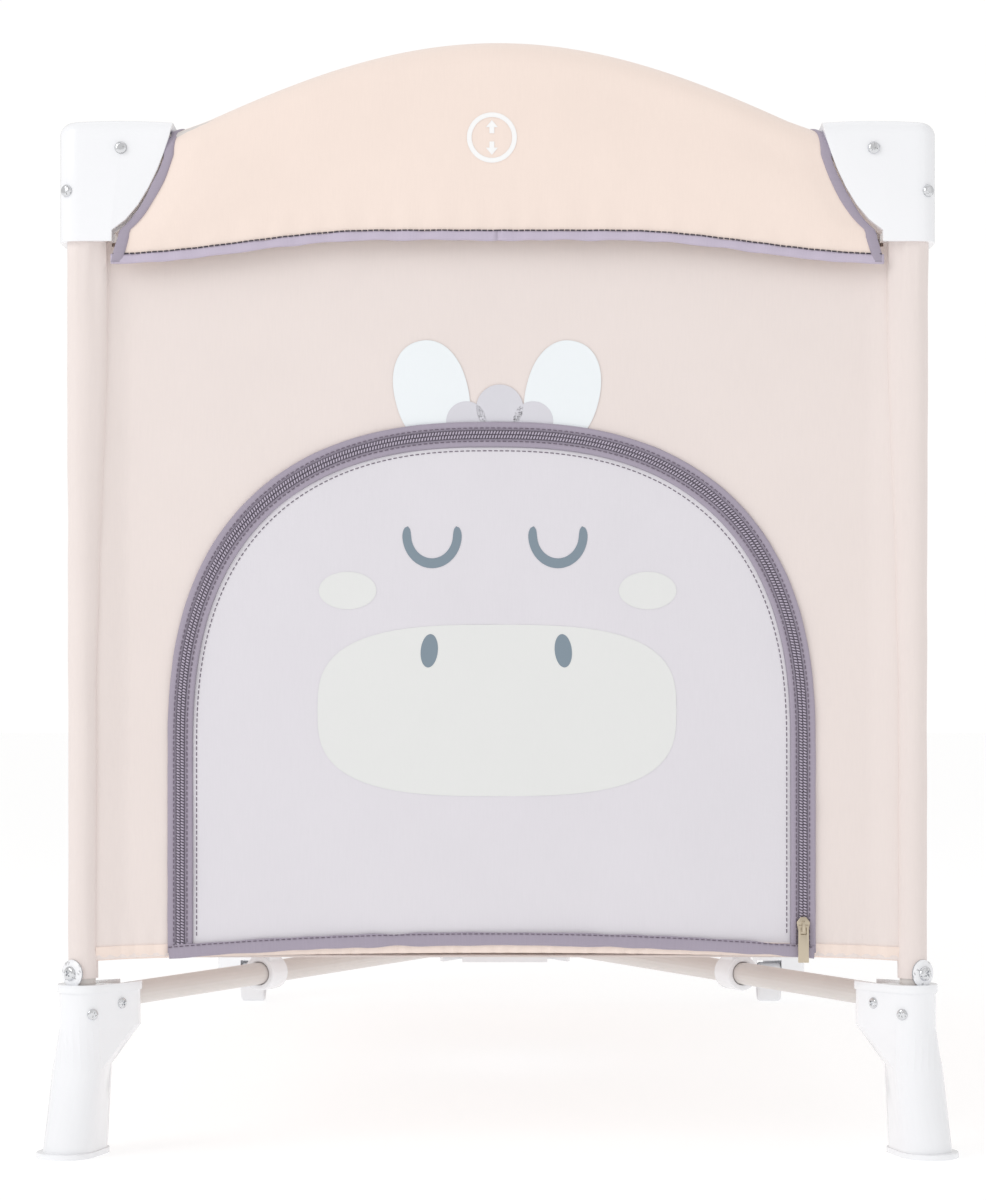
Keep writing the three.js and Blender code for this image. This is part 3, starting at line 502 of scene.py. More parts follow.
class COT_OT_materials(bpy.types.Operator):
    """Make the cloth, net, tape, plastic, paint and metal finishes"""

    bl_idname = "cot.materials"
    bl_label = "Finishes"

    def execute(self, context):
        tint = context.scene.cot_finishes
        build_weave_group()
        build_moulding_group()
        cloth_material("Cover satin", tint.cover, crinkle=0.6, rough=0.55, sheen=0.3, spread=0.05)
        cloth_material("Wall cloth", tint.wall, crinkle=0.5, rough=0.7)
        cloth_material("Door cloth", tint.door, crinkle=0.5, rough=0.65)
        cloth_material("Floor cloth", tint.wall, crinkle=0.3, rough=0.8)
        cloth_material("Mattress cloth", tint.cover, crinkle=0.5, rough=0.75)
        cloth_material("Purple tape", tint.tape, thread=0.0016, crinkle=0.35, rough=0.75, spread=0.16)
        # The darker copy of the tape is a painted shade colour, for the strip under the zip's coil.
        pale, painted_shade_tone = [c * 1.42 for c in tint.tape], [c * 0.42 for c in tint.tape]
        cloth_material("Pale tape", pale, thread=0.0016, crinkle=0.4, rough=0.7, spread=0.12)
        cloth_material("Dark tape", painted_shade_tone, thread=0.0012, crinkle=0.2, rough=0.8, spread=0.1)
        cloth_material("Thread", tint.thread, thread=0.001, crinkle=0.2, rough=0.8)
        # Thread at 0.4 of its colour: real stitching with painted shade of the stitch line along a cover's
        # hem.
        cloth_material("Dark thread", [c * 0.4 for c in tint.thread], thread=0.001, crinkle=0.2, rough=0.8)
        cloth_material("Webbing", tint.thread, thread=0.003, crinkle=0.2, rough=0.85)
        net_material("Mesh window", tint.cover)
        cloth_material("Print slate", tint.slate, strength=0.2, spread=0.03)
        cloth_material("Print muzzle", tint.muzzle, strength=0.2, spread=0.02)
        cloth_material("Print ear", tint.ear, strength=0.2, spread=0.02)
        cloth_material("Print tuft", tint.tuft, strength=0.2, spread=0.02)
        cloth_material("Print white", (0.95, 0.95, 0.95), strength=0.2, spread=0.02)
        hard_material("White plastic", tint.plastic, 0.22, coat=0.25)
        hard_material("Painted tube", tint.tube, 0.35, metal=0.1, coat=0.2, spread=0.06)
        hard_material("Plated steel", (0.72, 0.73, 0.75), 0.12, metal=1.0, grain=1500.0)
        hard_material("Zip metal", (0.62, 0.54, 0.42), 0.28, metal=1.0, grain=1500.0, spread=0.2)
        hard_material("Zip coil", tuple(min(1.0, c * 1.25) for c in tint.tape), 0.45)
        hard_material("Wheel plastic", (0.84, 0.84, 0.86), 0.5)
        return {"FINISHED"}


# ---- walls, sleeves and door ------------------------------------------------------
def wall_out(side, along, height):
    """How far out the cloth of a wall lies: taut, a little uneven, pulled forward at its posts."""
    half = POST_X if side in ("front", "rear") else POST_Y
    base = WALL_D if side in ("front", "rear") else SIDE_D
    near_post = smooth(half - 0.035, half - 0.010, abs(along))
    seed = 1.0 + len(side)
    uneven = 0.0011 * ripple(along, height, 0.11, seed) + 0.0005 * ripple(along, height, 0.035, seed + 5)
    pleats = math.sin(along * 520 + 3 * ripple(along, height, 0.05, 4.0))
    gathers = 0.0007 * pleats * smooth(0.175, 0.152, height)
    return base + 0.0008 + 0.006 * near_post + (uneven + gathers) * (1 - 0.6 * near_post)


def wall_bottom(along, half):
    """Lower edge of a wall: it rises a little between the posts."""
    return WALL_LO.z - 0.003 + 0.0055 * (1 - (abs(along) / half) ** 2)


def door_path(grow, bottom, steps=120):
    """Points (along, height) up one side of the door, round its arch and down the other."""
    half, rise = DOOR_REACH + grow, DOOR_HI.z - DOOR_START + grow
    sides = 14
    climb = [bottom + (DOOR_START - bottom) * i / sides for i in range(sides)]
    left = [(DOOR_MIDDLE - half, z) for z in climb]
    arch = []
    for i in range(steps + 1):
        x, z = superellipse(math.pi * (1 - i / steps), half, rise, DOOR_CURVE)
        arch.append((DOOR_MIDDLE + x, DOOR_START + z))
    right = [(DOOR_MIDDLE + half, z) for z in reversed(climb)]
    return even(left + arch + right, 2 * sides + steps)


def even(points, count):
    """The same line with count + 1 evenly spaced points."""
    runs = [0.0]
    for (x0, z0), (x1, z1) in zip(points, points[1:]):
        runs.append(runs[-1] + math.hypot(x1 - x0, z1 - z0))
    result, k = [], 0
    for i in range(count + 1):
        target = runs[-1] * i / count
        while k < len(points) - 2 and runs[k + 1] < target:
            k += 1
        span = runs[k + 1] - runs[k]
        t = 0 if span < 1e-12 else (target - runs[k]) / span
        (x0, z0), (x1, z1) = points[k], points[k + 1]
        result.append((x0 + (x1 - x0) * t, z0 + (z1 - z0) * t))
    return result


def panel_edge(half, shoulder, bottom):
    """Outline of a wall beside its posts and between its caps, up the left and down the right."""
    step = CAP_LO.z - 0.002
    left = [(-half, bottom), (-half, step), (-shoulder, step + 0.001), (-shoulder, WALL_HI.z - CAP_GAP)]
    return left + [(-x, z) for x, z in reversed(left)]


def ring_wall(name, side, inner, outer, cloth, closed):
    """A wall between the line of its opening and its own outline, in even rings."""
    rings = 26
    rows, uvs = [], []
    for r in range(rings + 1):
        t = r / rings
        line = [(ai + (ao - ai) * t, zi + (zo - zi) * t) for (ai, zi), (ao, zo) in zip(inner, outer)]
        rows.append([at(side, a, wall_out(side, a, z), z) for a, z in line])
        uvs.append(line)
    wall = grid(name, rows, uvs, wrap=closed)
    thicken(wall, cloth)
    face_out(wall)
    return wall


def make_front_wall(cloth):
    half, shoulder = WALL_HI.x, CAP_X - CAP_ARM - CAP_GAP
    inner = door_path(0.008, wall_bottom(0.2, half))
    outer = even(panel_edge(half, shoulder, wall_bottom(half, half)), len(inner) - 1)
    return ring_wall("front_wall", "front", inner, outer, cloth, closed=False)


def make_sill(cloth):
    """The strip of wall cloth below the door, gathered onto the floor's edge."""
    half, tall, levels, columns = WALL_HI.x, 0.0100, 8, 240
    rows, uvs = [], []
    for r in range(levels + 1):
        up = r / levels
        lift = 0.0012 - 0.0025 * (1 - up) ** 2
        line = []
        for c in range(columns + 1):
            a = half * (2 * c / columns - 1)
            line.append((a, wall_bottom(a, half) - 0.0005 + tall * up))
        rows.append([at("front", a, wall_out("front", a, z) + lift + sill_pleat(a, up), z) for a, z in line])
        uvs.append(line)
    sill = grid("front_sill", rows, uvs)
    thicken(sill, cloth)
    face_out(sill)
    return sill


def sill_pleat(along, up):
    return 0.0006 * math.sin(along * 700 + 5 * ripple(along, 0, 0.04, 14.0)) * (1 - up)


def make_window_wall(side, window, cloth):
    half, shoulder = SIDE_HI.y, CAP_Y - CAP_ARM - CAP_GAP
    inner = window_path(*window)[:-1]
    low = wall_bottom(half, half)
    outline = panel_edge(half, shoulder, low)
    start = outline.index((half, low))
    loop = [outline[k % len(outline)] for k in range(start, start - len(outline), -1)]
    outer = match_angles(inner, loop + [loop[0]], (window[1] + window[2]) / 2)
    return ring_wall(f"{side}_wall", side, inner, outer, cloth, closed=True)


def match_angles(inner, loop, middle):
    """For each inner point, the point of a closed outline that lies the same share of the way round."""
    fine = even(loop, 4000)
    scale = (max(p[0] for p in loop), max(p[1] for p in loop) - middle)
    turn = lambda p: math.atan2((p[1] - middle) / scale[1], p[0] / scale[0]) % (2 * math.pi)
    ordered = sorted((turn(p), p) for p in fine)
    angles = [a for a, _ in ordered]
    return [ordered[min(bisect.bisect_left(angles, turn(p)), len(ordered) - 1)][1] for p in inner]


def make_plain_wall(name, side, half, shoulder, high, cloth):
    """A wall of one unbroken cloth."""
    columns, levels = 90, 60
    points_at = []
    for r in range(levels + 1):
        t = r / levels
        row = []
        for c in range(columns + 1):
            s = -1 + 2 * c / columns
            z_low = wall_bottom(s * half, half)
            z = z_low + (high - z_low) * t
            width = half if z < CAP_LO.z - 0.002 else shoulder
            row.append((s * width, z))
        points_at.append(row)
    rows = [[at(side, a, wall_out(side, a, z), z) for a, z in row] for row in points_at]
    wall = grid(name, rows, points_at)
    thicken(wall, cloth)
    face_out(wall)
    return wall


def window_path(half, low, high, steps=160):
    """The rounded outline of a window, evenly spaced."""
    middle, tall = (low + high) / 2, (high - low) / 2
    line = []
    for i in range(steps + 1):
        t = 2 * math.pi * i / steps
        line.append((half * signed_power(math.cos(t), 0.25), middle + tall * signed_power(math.sin(t), 0.25)))
    return even(line, steps * 2)


def make_net(name, side, half, low, high):
    columns, levels = 90, 34
    alongs = spread_over(-half, half, columns)
    flat = [[(a, z) for a in alongs] for z in spread_over(low, high, levels)]
    rows = [[at(side, a, wall_out(side, a, z) - 0.0011, z) for a, z in row] for row in flat]
    net = grid(name, rows, flat)
    thicken(net, 0.0004)
    face_out(net)
    return net


def edge_strip(name, side, line, out_of, width, thick, seed, wrinkle):
    """A binding along a line of (along, height) points on a side of the cot."""
    out = SIDES[side][1]
    path = [at(side, x, out_of(x, z), z) for x, z in line]
    across, outs = [], []
    for i in range(len(path)):
        ahead = (path[min(i + 1, len(path) - 1)] - path[max(i - 1, 0)]).normalized()
        across.append(ahead.cross(out).normalized())
        outs.append(out)
    return strip(name, path, across, outs, width, thick, seed, wrinkle)


def stitches(name, side, line, out_of, pitch=0.0042, length=0.0029, width=0.0007):
    """A run of short stitches along a line on a side of the cot."""
    total = sum(math.dist(p, q) for p, q in zip(line, line[1:]))
    fine = even(line, max(2, int(total / pitch) * 2))
    points, faces = [], []
    for i in range(0, len(fine) - 1, 2):
        (x0, z0), (x1, z1) = fine[i], fine[i + 1]
        d = Vector((x1 - x0, z1 - z0))
        if d.length < 1e-9:
            continue
        d.normalize()
        middle = Vector(((x0 + x1) / 2, (z0 + z1) / 2))
        n = Vector((-d.y, d.x))
        first = len(points)
        for up in (0.0, 0.0006):
            shrink = 1 if up == 0 else 0.6
            for u, v in ((-1, -1), (1, -1), (1, 1), (-1, 1)):
                q = middle + d * (u * length / 2 * shrink) + n * (v * width / 2 * shrink)
                points.append(at(side, q.x, out_of(q.x, q.y) + up, q.y))
        quad = [(0, 1, 5, 4), (1, 2, 6, 5), (2, 3, 7, 6), (3, 0, 4, 7), (4, 5, 6, 7), (3, 2, 1, 0)]
        faces += [tuple(first + k for k in q) for q in quad]
    uvs = [(p.x + p.y, p.z) for p in points]
    obj = new_object(name, points, faces, uvs)
    face_out(obj)
    return obj


def make_sleeve(name, sx, sy, slack):
    """Cloth round a corner post: tight below, fuller and gathered under the cap."""
    low, high = 0.1335, CAP_LO.z + 0.006
    levels, around = 90, 40
    rows, uvs = [], []
    for r in range(levels + 1):
        z = low + (high - low) * r / levels
        fuller = smooth(0.30, 0.69, z)
        row, uv = [], []
        for c in range(around):
            t = 2 * math.pi * c / around
            nx, ny = math.cos(t), math.sin(t)
            inward = max(0.0, nx) ** 2
            pleat = math.sin(t * 9 + 2 * ripple(t, z, 0.06, 2.0)) * (0.0002 + 0.0011 * smooth(0.60, 0.68, z))
            uneven = 0.0005 * ripple(z, t * 0.03, 0.05, 7.0 + sx + 3 * sy)
            radius = POST_R + slack + 0.0009 * fuller + pleat * (0.3 + inward) + uneven
            x = POST_X * -1 + radius * nx + 0.0085 * fuller * inward
            y = -POST_Y + radius * ny
            row.append(Vector((x * sx, y * sy, z)))
            uv.append((t * POST_R, z))
        rows.append(row)
        uvs.append(uv)
    sleeve = grid(name, rows, uvs, wrap=True)
    face_out(sleeve)
    thicken(sleeve, 0.0006, offset=1.0)
    return sleeve


class COT_OT_walls(bpy.types.Operator):
    """Make the four cloth walls, their net windows, bindings and post sleeves"""

    bl_idname = "cot.walls"
    bl_label = "Walls"

    def execute(self, context):
        size = context.scene.cot_sizes
        front = make_front_wall(size.cloth)
        dress(front, "Wall cloth")
        gather(front, "front")
        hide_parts("wall_front")
        sill = make_sill(size.cloth)
        dress(sill, "Cover satin")
        gather(sill, "front")
        shoulder = CAP_X - CAP_ARM - CAP_GAP
        rear = make_plain_wall("rear_wall", "rear", WALL_HI.x, shoulder, WALL_HI.z - CAP_GAP, size.cloth)
        dress(rear, "Wall cloth")
        gather(rear, "rear")
        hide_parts("wall_rear")
        window = (0.535, 0.235, 0.640)
        for side in ("left", "right"):
            wall = make_window_wall(side, window, size.cloth)
            dress(wall, "Wall cloth")
            half, low, high = window
            net = make_net(f"{side}_window_net", side, half - 0.001, low - 0.001, high + 0.001)
            dress(net, "Mesh window")
            rim = edge_strip(
                f"{side}_window_binding", side, window_path(*window),
                lambda a, z, s=side: wall_out(s, a, z) + 0.0006,
                0.012, 0.0022, 2.0, 0.3,
            )
            dress(rim, "Purple tape")
            for piece in (wall, net, rim):
                gather(piece, side)
            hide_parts(f"wall_{side}")
        for end, sy in (("front", 1), ("rear", -1)):
            for side, sx in (("left", 1), ("right", -1)):
                sleeve = make_sleeve(f"post_sleeve_{end}_{side}", sx, sy, size.sleeve)
                dress(sleeve, "Wall cloth")
                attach(sleeve, f"corner_{end}_{side}")
        return {"FINISHED"}


# ---- the zipped door and its print -----------------------------------------------
def door_out(x, z):
    """The door's cloth lies just in front of the wall's, a little fuller in the middle."""
    u, v = (x - DOOR_MIDDLE) / DOOR_REACH, (z - DOOR_LO.z) / (DOOR_HI.z - DOOR_LO.z)
    belly = 0.0035 * max(0.0, 1 - u * u) * math.sin(math.pi * min(max(v, 0), 1))
    return WALL_D + 0.0012 + belly + 0.0009 * ripple(x, z, 0.09, 11.0) + 0.0004 * ripple(x, z, 0.03, 12.0)


def hem_height(share):
    """Middle of the door's bottom band, from -1 at its left end to 1 at its right end."""
    return 0.1525 + 0.0100 * (1 - share * share)


def hem_out(x, z):
    return max(door_out(x, z), WALL_D + TAPE_OUT + 0.0014) + 0.0006


def make_door(cloth):
    line = door_path(0.0006, DOOR_LO.z + 0.002, 120)
    centre = (DOOR_MIDDLE, DOOR_START)
    rings = 40
    rows, uvs = [], []
    for r in range(rings + 1):
        t = 0.02 + 0.98 * r / rings
        ring = [(centre[0] + (x - centre[0]) * t, centre[1] + (z - centre[1]) * t) for x, z in line]
        span = ring[0][0] - ring[-1][0]
        rise = 0.010 * t
        bottom = [
            (ring[-1][0] + span * k / 60, ring[0][1] + rise * (1 - (k / 30 - 1) ** 2)) for k in range(1, 60)
        ]
        full = ring + bottom
        rows.append([at("front", x, door_out(x, z), z) for x, z in full])
        uvs.append(full)
    middle = at("front", centre[0], door_out(*centre), centre[1])
    door = grid("crawl_door", rows, uvs, wrap=True, centre=(middle, centre))
    thicken(door, cloth)
    face_out(door)
    return door


def tape_out(x, z):
    return WALL_D + TAPE_OUT + 0.0005 * ripple(x, z, 0.05, 21.0)


def tape_line(offset):
    """A line round the door at that distance from its edge."""
    return door_path(offset, DOOR_LO.z - 0.001, 150)


def make_coil(name, offset, pitch):
    """One side of the zip's coil: a row of short rounded turns along the door's edge."""
    base = tape_line(offset)
    total = sum(math.dist(p, q) for p, q in zip(base, base[1:]))
    line = even(base, int(total / pitch))
    points, faces = [], []
    for i in range(1, len(line) - 1):
        (x0, z0), (x1, z1) = line[i - 1], line[i + 1]
        d = Vector((x1 - x0, z1 - z0)).normalized()
        n = Vector((-d.y, d.x))
        middle = Vector(line[i])
        first = len(points)
        for k in range(5):
            t = math.pi * k / 4
            u = math.cos(t) * 0.00135
            lift = 0.0004 + math.sin(t) * 0.0011
            for v in (-0.00062, 0.00062):
                q = middle + n * u + d * (v + 0.0005 * math.cos(t))
                points.append(at("front", q.x, tape_out(q.x, q.y) + 0.0008 + lift, q.y))
        for k in range(4):
            b = first + 2 * k
            faces.append((b, b + 1, b + 3, b + 2))
        faces.append((first, first + 8, first + 9, first + 1))
        faces.append((first, first + 2, first + 4, first + 6, first + 8))
        faces.append((first + 9, first + 7, first + 5, first + 3, first + 1))
    coil = new_object(name, points, faces, [(p.x, p.z) for p in points])
    face_out(coil)
    return coil


def print_patch(name, outline, layer, out_of, material, side="front"):
    """A printed shape: a thin skin on the cloth inside a closed outline of (along, height) points."""
    n = len(outline)
    cx = sum(p[0] for p in outline) / n
    cz = sum(p[1] for p in outline) / n
    rings = 8
    lift = 0.0007 + 0.00012 * layer
    rows, uvs = [], []
    for r in range(1, rings + 1):
        t = r / rings
        ring = [(cx + (x - cx) * t, cz + (z - cz) * t) for x, z in outline]
        rows.append([at(side, x, out_of(x, z) + lift, z) for x, z in ring])
        uvs.append(ring)
    middle = at(side, cx, out_of(cx, cz) + lift, cz)
    patch = grid(name, rows, uvs, wrap=True, centre=(middle, (cx, cz)))
    face_front(patch, side)
    dress(patch, material)
    return patch


def face_front(obj, side):
    """Turns an open skin to face away from the cot."""
    obj.data.update()
    out = SIDES[side][1]
    total = sum((p.normal.dot(out) * p.area for p in obj.data.polygons), 0.0)
    if total < 0:
        obj.data.flip_normals()


def oval(cx, cz, half, tall, power=2.0, lean=0.0, count=72):
    """The outline of an oval, squarer for a higher power, turned by lean."""
    line = []
    for i in range(count):
        t = 2 * math.pi * i / count
        x = half * signed_power(math.cos(t), 2 / power)
        z = tall * signed_power(math.sin(t), 2 / power)
        c, s = math.cos(lean), math.sin(lean)
        line.append((cx + x * c - z * s, cz + x * s + z * c))
    return line


def spread_over(start, stop, steps):
    """Evenly spaced values from start to stop."""
    return [start + (stop - start) * i / steps for i in range(steps + 1)]


def lid_patch(name, cx, cz, radius, thick, layer):
    """The eyelid as a bent band, because its outline isn't star-shaped."""
    steps, across = 48, 4
    rows, uvs = [], []
    for i, t in enumerate(spread_over(math.pi * 0.90, 2.10 * math.pi, steps)):
        ends = min(i, steps - i) / 5
        half = thick / 2 * math.sqrt(max(0.0, 1 - (1 - min(ends, 1)) ** 2)) if ends < 1 else thick / 2
        row = []
        for k in range(across + 1):
            r = radius - thick / 2 + half * (-1 + 2 * k / across)
            row.append((cx + r * math.cos(t), cz + r * math.sin(t) * 1.12))
        uvs.append(row)
        rows.append([at("front", x, door_out(x, z) + 0.0007 + 0.00012 * layer, z) for x, z in row])
    lid = grid(name, rows, uvs)
    face_front(lid, "front")
    dress(lid, "Print slate")
    return lid


def door_print():
    """A sleepy animal's face: lids, cheeks, muzzle and nostrils on the door, in plain ovals."""
    pieces = []
    for side, sx in (("left", -1), ("right", 1)):
        pieces.append(lid_patch(f"print_lid_{side}", -0.002 + sx * 0.0470, 0.4640, 0.0222, 0.0066, 1))
        cheek = oval(sx * 0.112, 0.4225, 0.0215, 0.0140)
        pieces.append(print_patch(f"print_cheek_{side}", cheek, 1, door_out, "Print muzzle"))
        nostril = oval(-0.001 + sx * 0.050, 0.3775, 0.0064, 0.0125, lean=0.10 * sx)
        name = f"print_nostril_{side}"
        pieces.append(print_patch(name, nostril, 2, door_out, "Print slate"))
    muzzle = oval(-0.0005, 0.3330, 0.1340, 0.0640, power=3.0)
    pieces.append(print_patch("print_muzzle", muzzle, 1, door_out, "Print muzzle"))
    return pieces


def wall_print():
    """Ears and a tuft of hair on the wall above the door."""
    out_of = lambda x, z: wall_out("front", x, z) + 0.0004
    pieces = []
    for side, sx in (("left", -1), ("right", 1)):
        ear = oval(-0.0005 + sx * 0.0490, 0.5700, 0.0275, 0.0400, power=2.2, lean=-0.24 * sx)
        pieces.append(print_patch(f"print_ear_{side}", ear, 1, out_of, "Print ear"))
    tufts = (
        ("left", -0.0235, 0.5490, 0.0150),
        ("middle", 0.0015, 0.5590, 0.0175),
        ("right", 0.0265, 0.5490, 0.0150),
    )
    for name, cx, cz, r in tufts:
        tuft = oval(cx, cz, r, r)
        pieces.append(print_patch(f"print_tuft_{name}", tuft, 2, out_of, "Print tuft"))
    return pieces


class COT_OT_door(bpy.types.Operator):
    """Make the crawl-through door, its zip, bindings, stitching and print"""

    bl_idname = "cot.door"
    bl_label = "Door"

    def execute(self, context):
        size = context.scene.cot_sizes
        door = make_door(size.cloth)
        dress(door, "Door cloth")
        reach = DOOR_REACH + TAPE_LINE + 0.0085
        hem_line = [(DOOR_MIDDLE + reach * (i / 60 - 1), hem_height(i / 60 - 1)) for i in range(121)]
        hem = edge_strip("door_hem", "front", hem_line, hem_out, 0.0098, 0.0018, 3.0, 0.25)
        dress(hem, "Purple tape")
        above = [(x, z + 0.0038) for x, z in hem_line]
        hem_thread = stitches("door_hem_thread", "front", above, lambda x, z: hem_out(x, z) + 0.0008)
        dress(hem_thread, "Thread")
        edge = door_path(-0.0030, DOOR_LO.z + 0.012)
        seam = stitches("door_edge_thread", "front", edge, lambda x, z: door_out(x, z) + 0.0006)
        dress(seam, "Thread")
        prints = door_print()
        for piece in (door, hem, hem_thread, seam, *prints):
            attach(piece, "door")
            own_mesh(piece)
        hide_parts("door_flap")
        wide, tall = 2 * DOOR_HALF, DOOR_HI.z - DOOR_LO.z

        tape = edge_strip("zip_tape_band", "front", tape_line(TAPE_LINE), tape_out, 0.0190, 0.0014, 5.0, 0.0)
        dress(tape, "Purple tape")
        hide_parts("zip_tape")
        folds = []
        for name, offset, wide in (("outer", 0.0067, 0.0056), ("inner", -0.0066, 0.0046)):
            line = tape_line(TAPE_LINE + offset)
            on_tape = lambda x, z: tape_out(x, z) + 0.0008
            fold = edge_strip(f"zip_{name}_fold", "front", line, on_tape, wide, 0.0020, 6.0, 0.1)
            folds.append(dress(fold, "Purple tape"))
        threads = []
        for name, offset in (("outer", 0.0048), ("inner", -0.0050)):
            line = tape_line(TAPE_LINE + offset)
            run = stitches(f"zip_{name}_thread", "front", line, lambda x, z: tape_out(x, z) + 0.0018)
            threads.append(dress(run, "Thread"))
        # A dark tape strip under the coil: painted shade between and beside the coil's turns.
        under_coil = lambda x, z: tape_out(x, z) + 0.0005
        coil_shade = edge_strip("zip_coil_painted_shade", "front", tape_line(TAPE_LINE), under_coil, 0.0074, 0.0010, 7.0, 0.0)
        folds.append(dress(coil_shade, "Dark tape"))
        coils = []
        for name, offset in (("outer", 0.0015), ("inner", -0.0015)):
            coil = make_coil(f"zip_coil_{name}", TAPE_LINE + offset, size.tooth_pitch)
            coils.append(dress(coil, "Zip coil"))
        for piece in (tape, *folds, *threads, *coils, *wall_print()):
            gather(piece, "front")
        return {"FINISHED"}


# ---- rail covers --------------------------------------------------------------------
# Half length, rise and height of an end rail's arch, and its tube's thickness.
ARCH_SPAN = 0.248
ARCH_RISE = 0.066
RAIL_HEIGHT = 0.750
RAIL_TALL = 0.020
COVER_THICK = COVER_HI.y - COVER_LO.y

# Height of the rounded part over a rail, and the rows of points of each part of a cover.
DOME = 0.019
SKIN_ROWS, DOME_ROWS, LINING_ROWS = 26, 16, 14
COVER_PLAN = (
    [("skin", i / SKIN_ROWS) for i in range(SKIN_ROWS)]
    + [("dome", i / DOME_ROWS) for i in range(DOME_ROWS)]
    + [("lining", i / LINING_ROWS) for i in range(LINING_ROWS + 1)]
)


def cap_side(height, grow):
    """How far a cap's rounded lower edge reaches from the cot's outer face at that height."""
    drop = min(max((CAP_TOP - height) / (CAP_TALL + grow), 0.0), 1.0)
    return (CAP_ARM + grow) * (1 - drop ** CAP_CURVE_DOWN) ** (1 / CAP_CURVE_OUT)


def cover_half(height, reach):
    """Half length of a cover at that height: cut away round the caps."""
    below = 0.0376 + 0.0074 * min(max((height - 0.665) / 0.022, 0.0), 1.0)
    return reach - max(cap_side(height, 0.0014), below)


def rail_top(along):
    """Top of an end rail's tube, from its straight tails up its arch."""
    run = min(max((ARCH_SPAN - abs(along)) / ARCH_SPAN, 0.0), 1.0)
    return RAIL_HEIGHT + ARCH_RISE * math.sin(math.pi / 2 * run) ** 1.15 + RAIL_TALL / 2


def arch_top(along, side):
    """Top of a cover along its rail."""
    if side in ("left", "right"):
        return SIDE_COVER_TOP
    run = min(max((ARCH_SPAN - abs(along)) / ARCH_SPAN, 0.0), 1.0)
    low = CAP_TOP - 0.0115
    return max(low + (COVER_HI.z - low) * math.sin(math.pi / 2 * run), rail_top(along) + 0.0018)


def cover_bottom(along, side):
    if side in ("left", "right"):
        return COVER_LO.z + 0.004
    return 0.6835 - 0.0175 * smooth(0.09, 0.29, abs(along))


def cover_reach(side):
    """From the middle of the cot to its ends, and to its outer faces, for a cover on this side."""
    return (CAP_X, CAP_Y + 0.0012) if side in ("front", "rear") else (CAP_Y, CAP_X + 0.0012)


def skin_half(side, t):
    """Half length of a cover's outer skin, from its hem at 0 to the start of its dome at 1."""
    height = COVER_LO.z + 0.001 + t * (CAP_TOP - 0.0085 - DOME - COVER_LO.z)
    return cover_half(height, cover_reach(side)[0])


def skin_out(side, along, t):
    """How far out a cover's outer skin lies: drawn in at its hem, flush beside the caps."""
    face = cover_reach(side)[1]
    hem = face - 0.0075 if side in ("front", "rear") else SIDE_D + 0.0045
    out = hem + (face - hem) * smooth(-0.15, 0.75, t)
    out += 0.0024 * math.sin(math.pi * min(1.0, t * 1.1)) * smooth(0.0, 0.05, skin_half(side, t) - abs(along))
    out -= 0.0034 * (1 - smooth(0.0, 0.03, skin_half(side, t) - abs(along))) * smooth(0.15, 0.4, t)
    return out + puff(along, t * 0.1, 31.0) + hem_pleat(along, t)


def puff(along, up, seed):
    return 0.0009 * ripple(along, up, 0.10, seed) + 0.0005 * ripple(along, up, 0.03, seed + 1)


def hem_pleat(along, t):
    return 0.0007 * math.sin(along * 260 + 4 * ripple(along, 0, 0.07, 3)) * (1 - smooth(0.0, 0.35, t))


def skin_height(side, along, t):
    low, top = cover_bottom(along, side), arch_top(along, side) - DOME
    return low + (top - low) * t


def on_cover(along, height, side="front"):
    """Where a cover's outer skin lies at a height."""
    low, top = cover_bottom(along, side), arch_top(along, side) - DOME
    return skin_out(side, along, min(max((height - low) / (top - low), 0.0), 1.0))


def cover_point(side, kind, t, inset, share):
    """A point on a cover, at a share of the way from its middle to inset from its end."""
    reach, face = cover_reach(side)
    inner_half = reach - CAP_ARM - 0.0065
    if kind == "skin":
        a = share * (skin_half(side, t) - inset)
        return at(side, a, skin_out(side, a, t), skin_height(side, a, t))
    if kind == "dome":
        a = share * (skin_half(side, 1) + (inner_half - skin_half(side, 1)) * smooth(0, 1, t) - inset)
        angle = math.pi * t
        z = arch_top(a, side) - DOME + DOME * max(math.sin(angle), 0.0) ** 0.9
        near = skin_out(side, a, 1)
        out = face - COVER_THICK / 2 + (near - face + COVER_THICK / 2) * math.cos(angle)
        return at(side, a, out, z)
    a = share * (inner_half - inset)
    low, top = cover_bottom(a, side) + 0.004, arch_top(a, side) - DOME
    z = top + (low - top) * t
    far = 2 * (face - COVER_THICK / 2) - skin_out(side, a, 1)
    return at(side, a, far - 0.001 * math.sin(math.pi * t), z)


def cover_rows(side, sign):
    """Points of half a cover, from the middle to one end: outer skin, dome and inner skin."""
    columns = 56 if side in ("front", "rear") else 96
    rows, uvs, run = [], [], 0.0
    for kind, t in COVER_PLAN:
        line = [cover_point(side, kind, t, 0.0, sign * c / columns) for c in range(columns + 1)]
        if rows:
            run += (line[0] - rows[-1][0]).length
        rows.append(line)
        uvs.append([(p.dot(SIDES[side][0]), run) for p in line])
    return rows, uvs


def cover_line(side, sign, inset, rows):
    """A line up a cover's end and over its dome."""
    return [cover_point(side, kind, t, inset, sign) for kind, t in COVER_PLAN[:rows]]


def make_rim(name, side, sign, width, thick):
    """The binding round the end of a cover, beside its cap."""
    rows = SKIN_ROWS + DOME_ROWS
    path = cover_line(side, sign, width * 0.45, rows)
    beside = cover_line(side, sign, width * 0.45 + 0.004, rows)
    across, outs = [], []
    for i, p in enumerate(path):
        side_on = (beside[i] - p).normalized()
        ahead = (path[min(i + 1, rows - 1)] - path[max(i - 1, 0)]).normalized()
        out = side_on.cross(ahead).normalized()
        across.append(side_on)
        outs.append(out if facing(out, side, i, rows) else -out)
    path = [p + o * 0.0012 for p, o in zip(path, outs)]
    return strip(name, path, across, outs, width, thick, 9.0 + sign, 0.15)


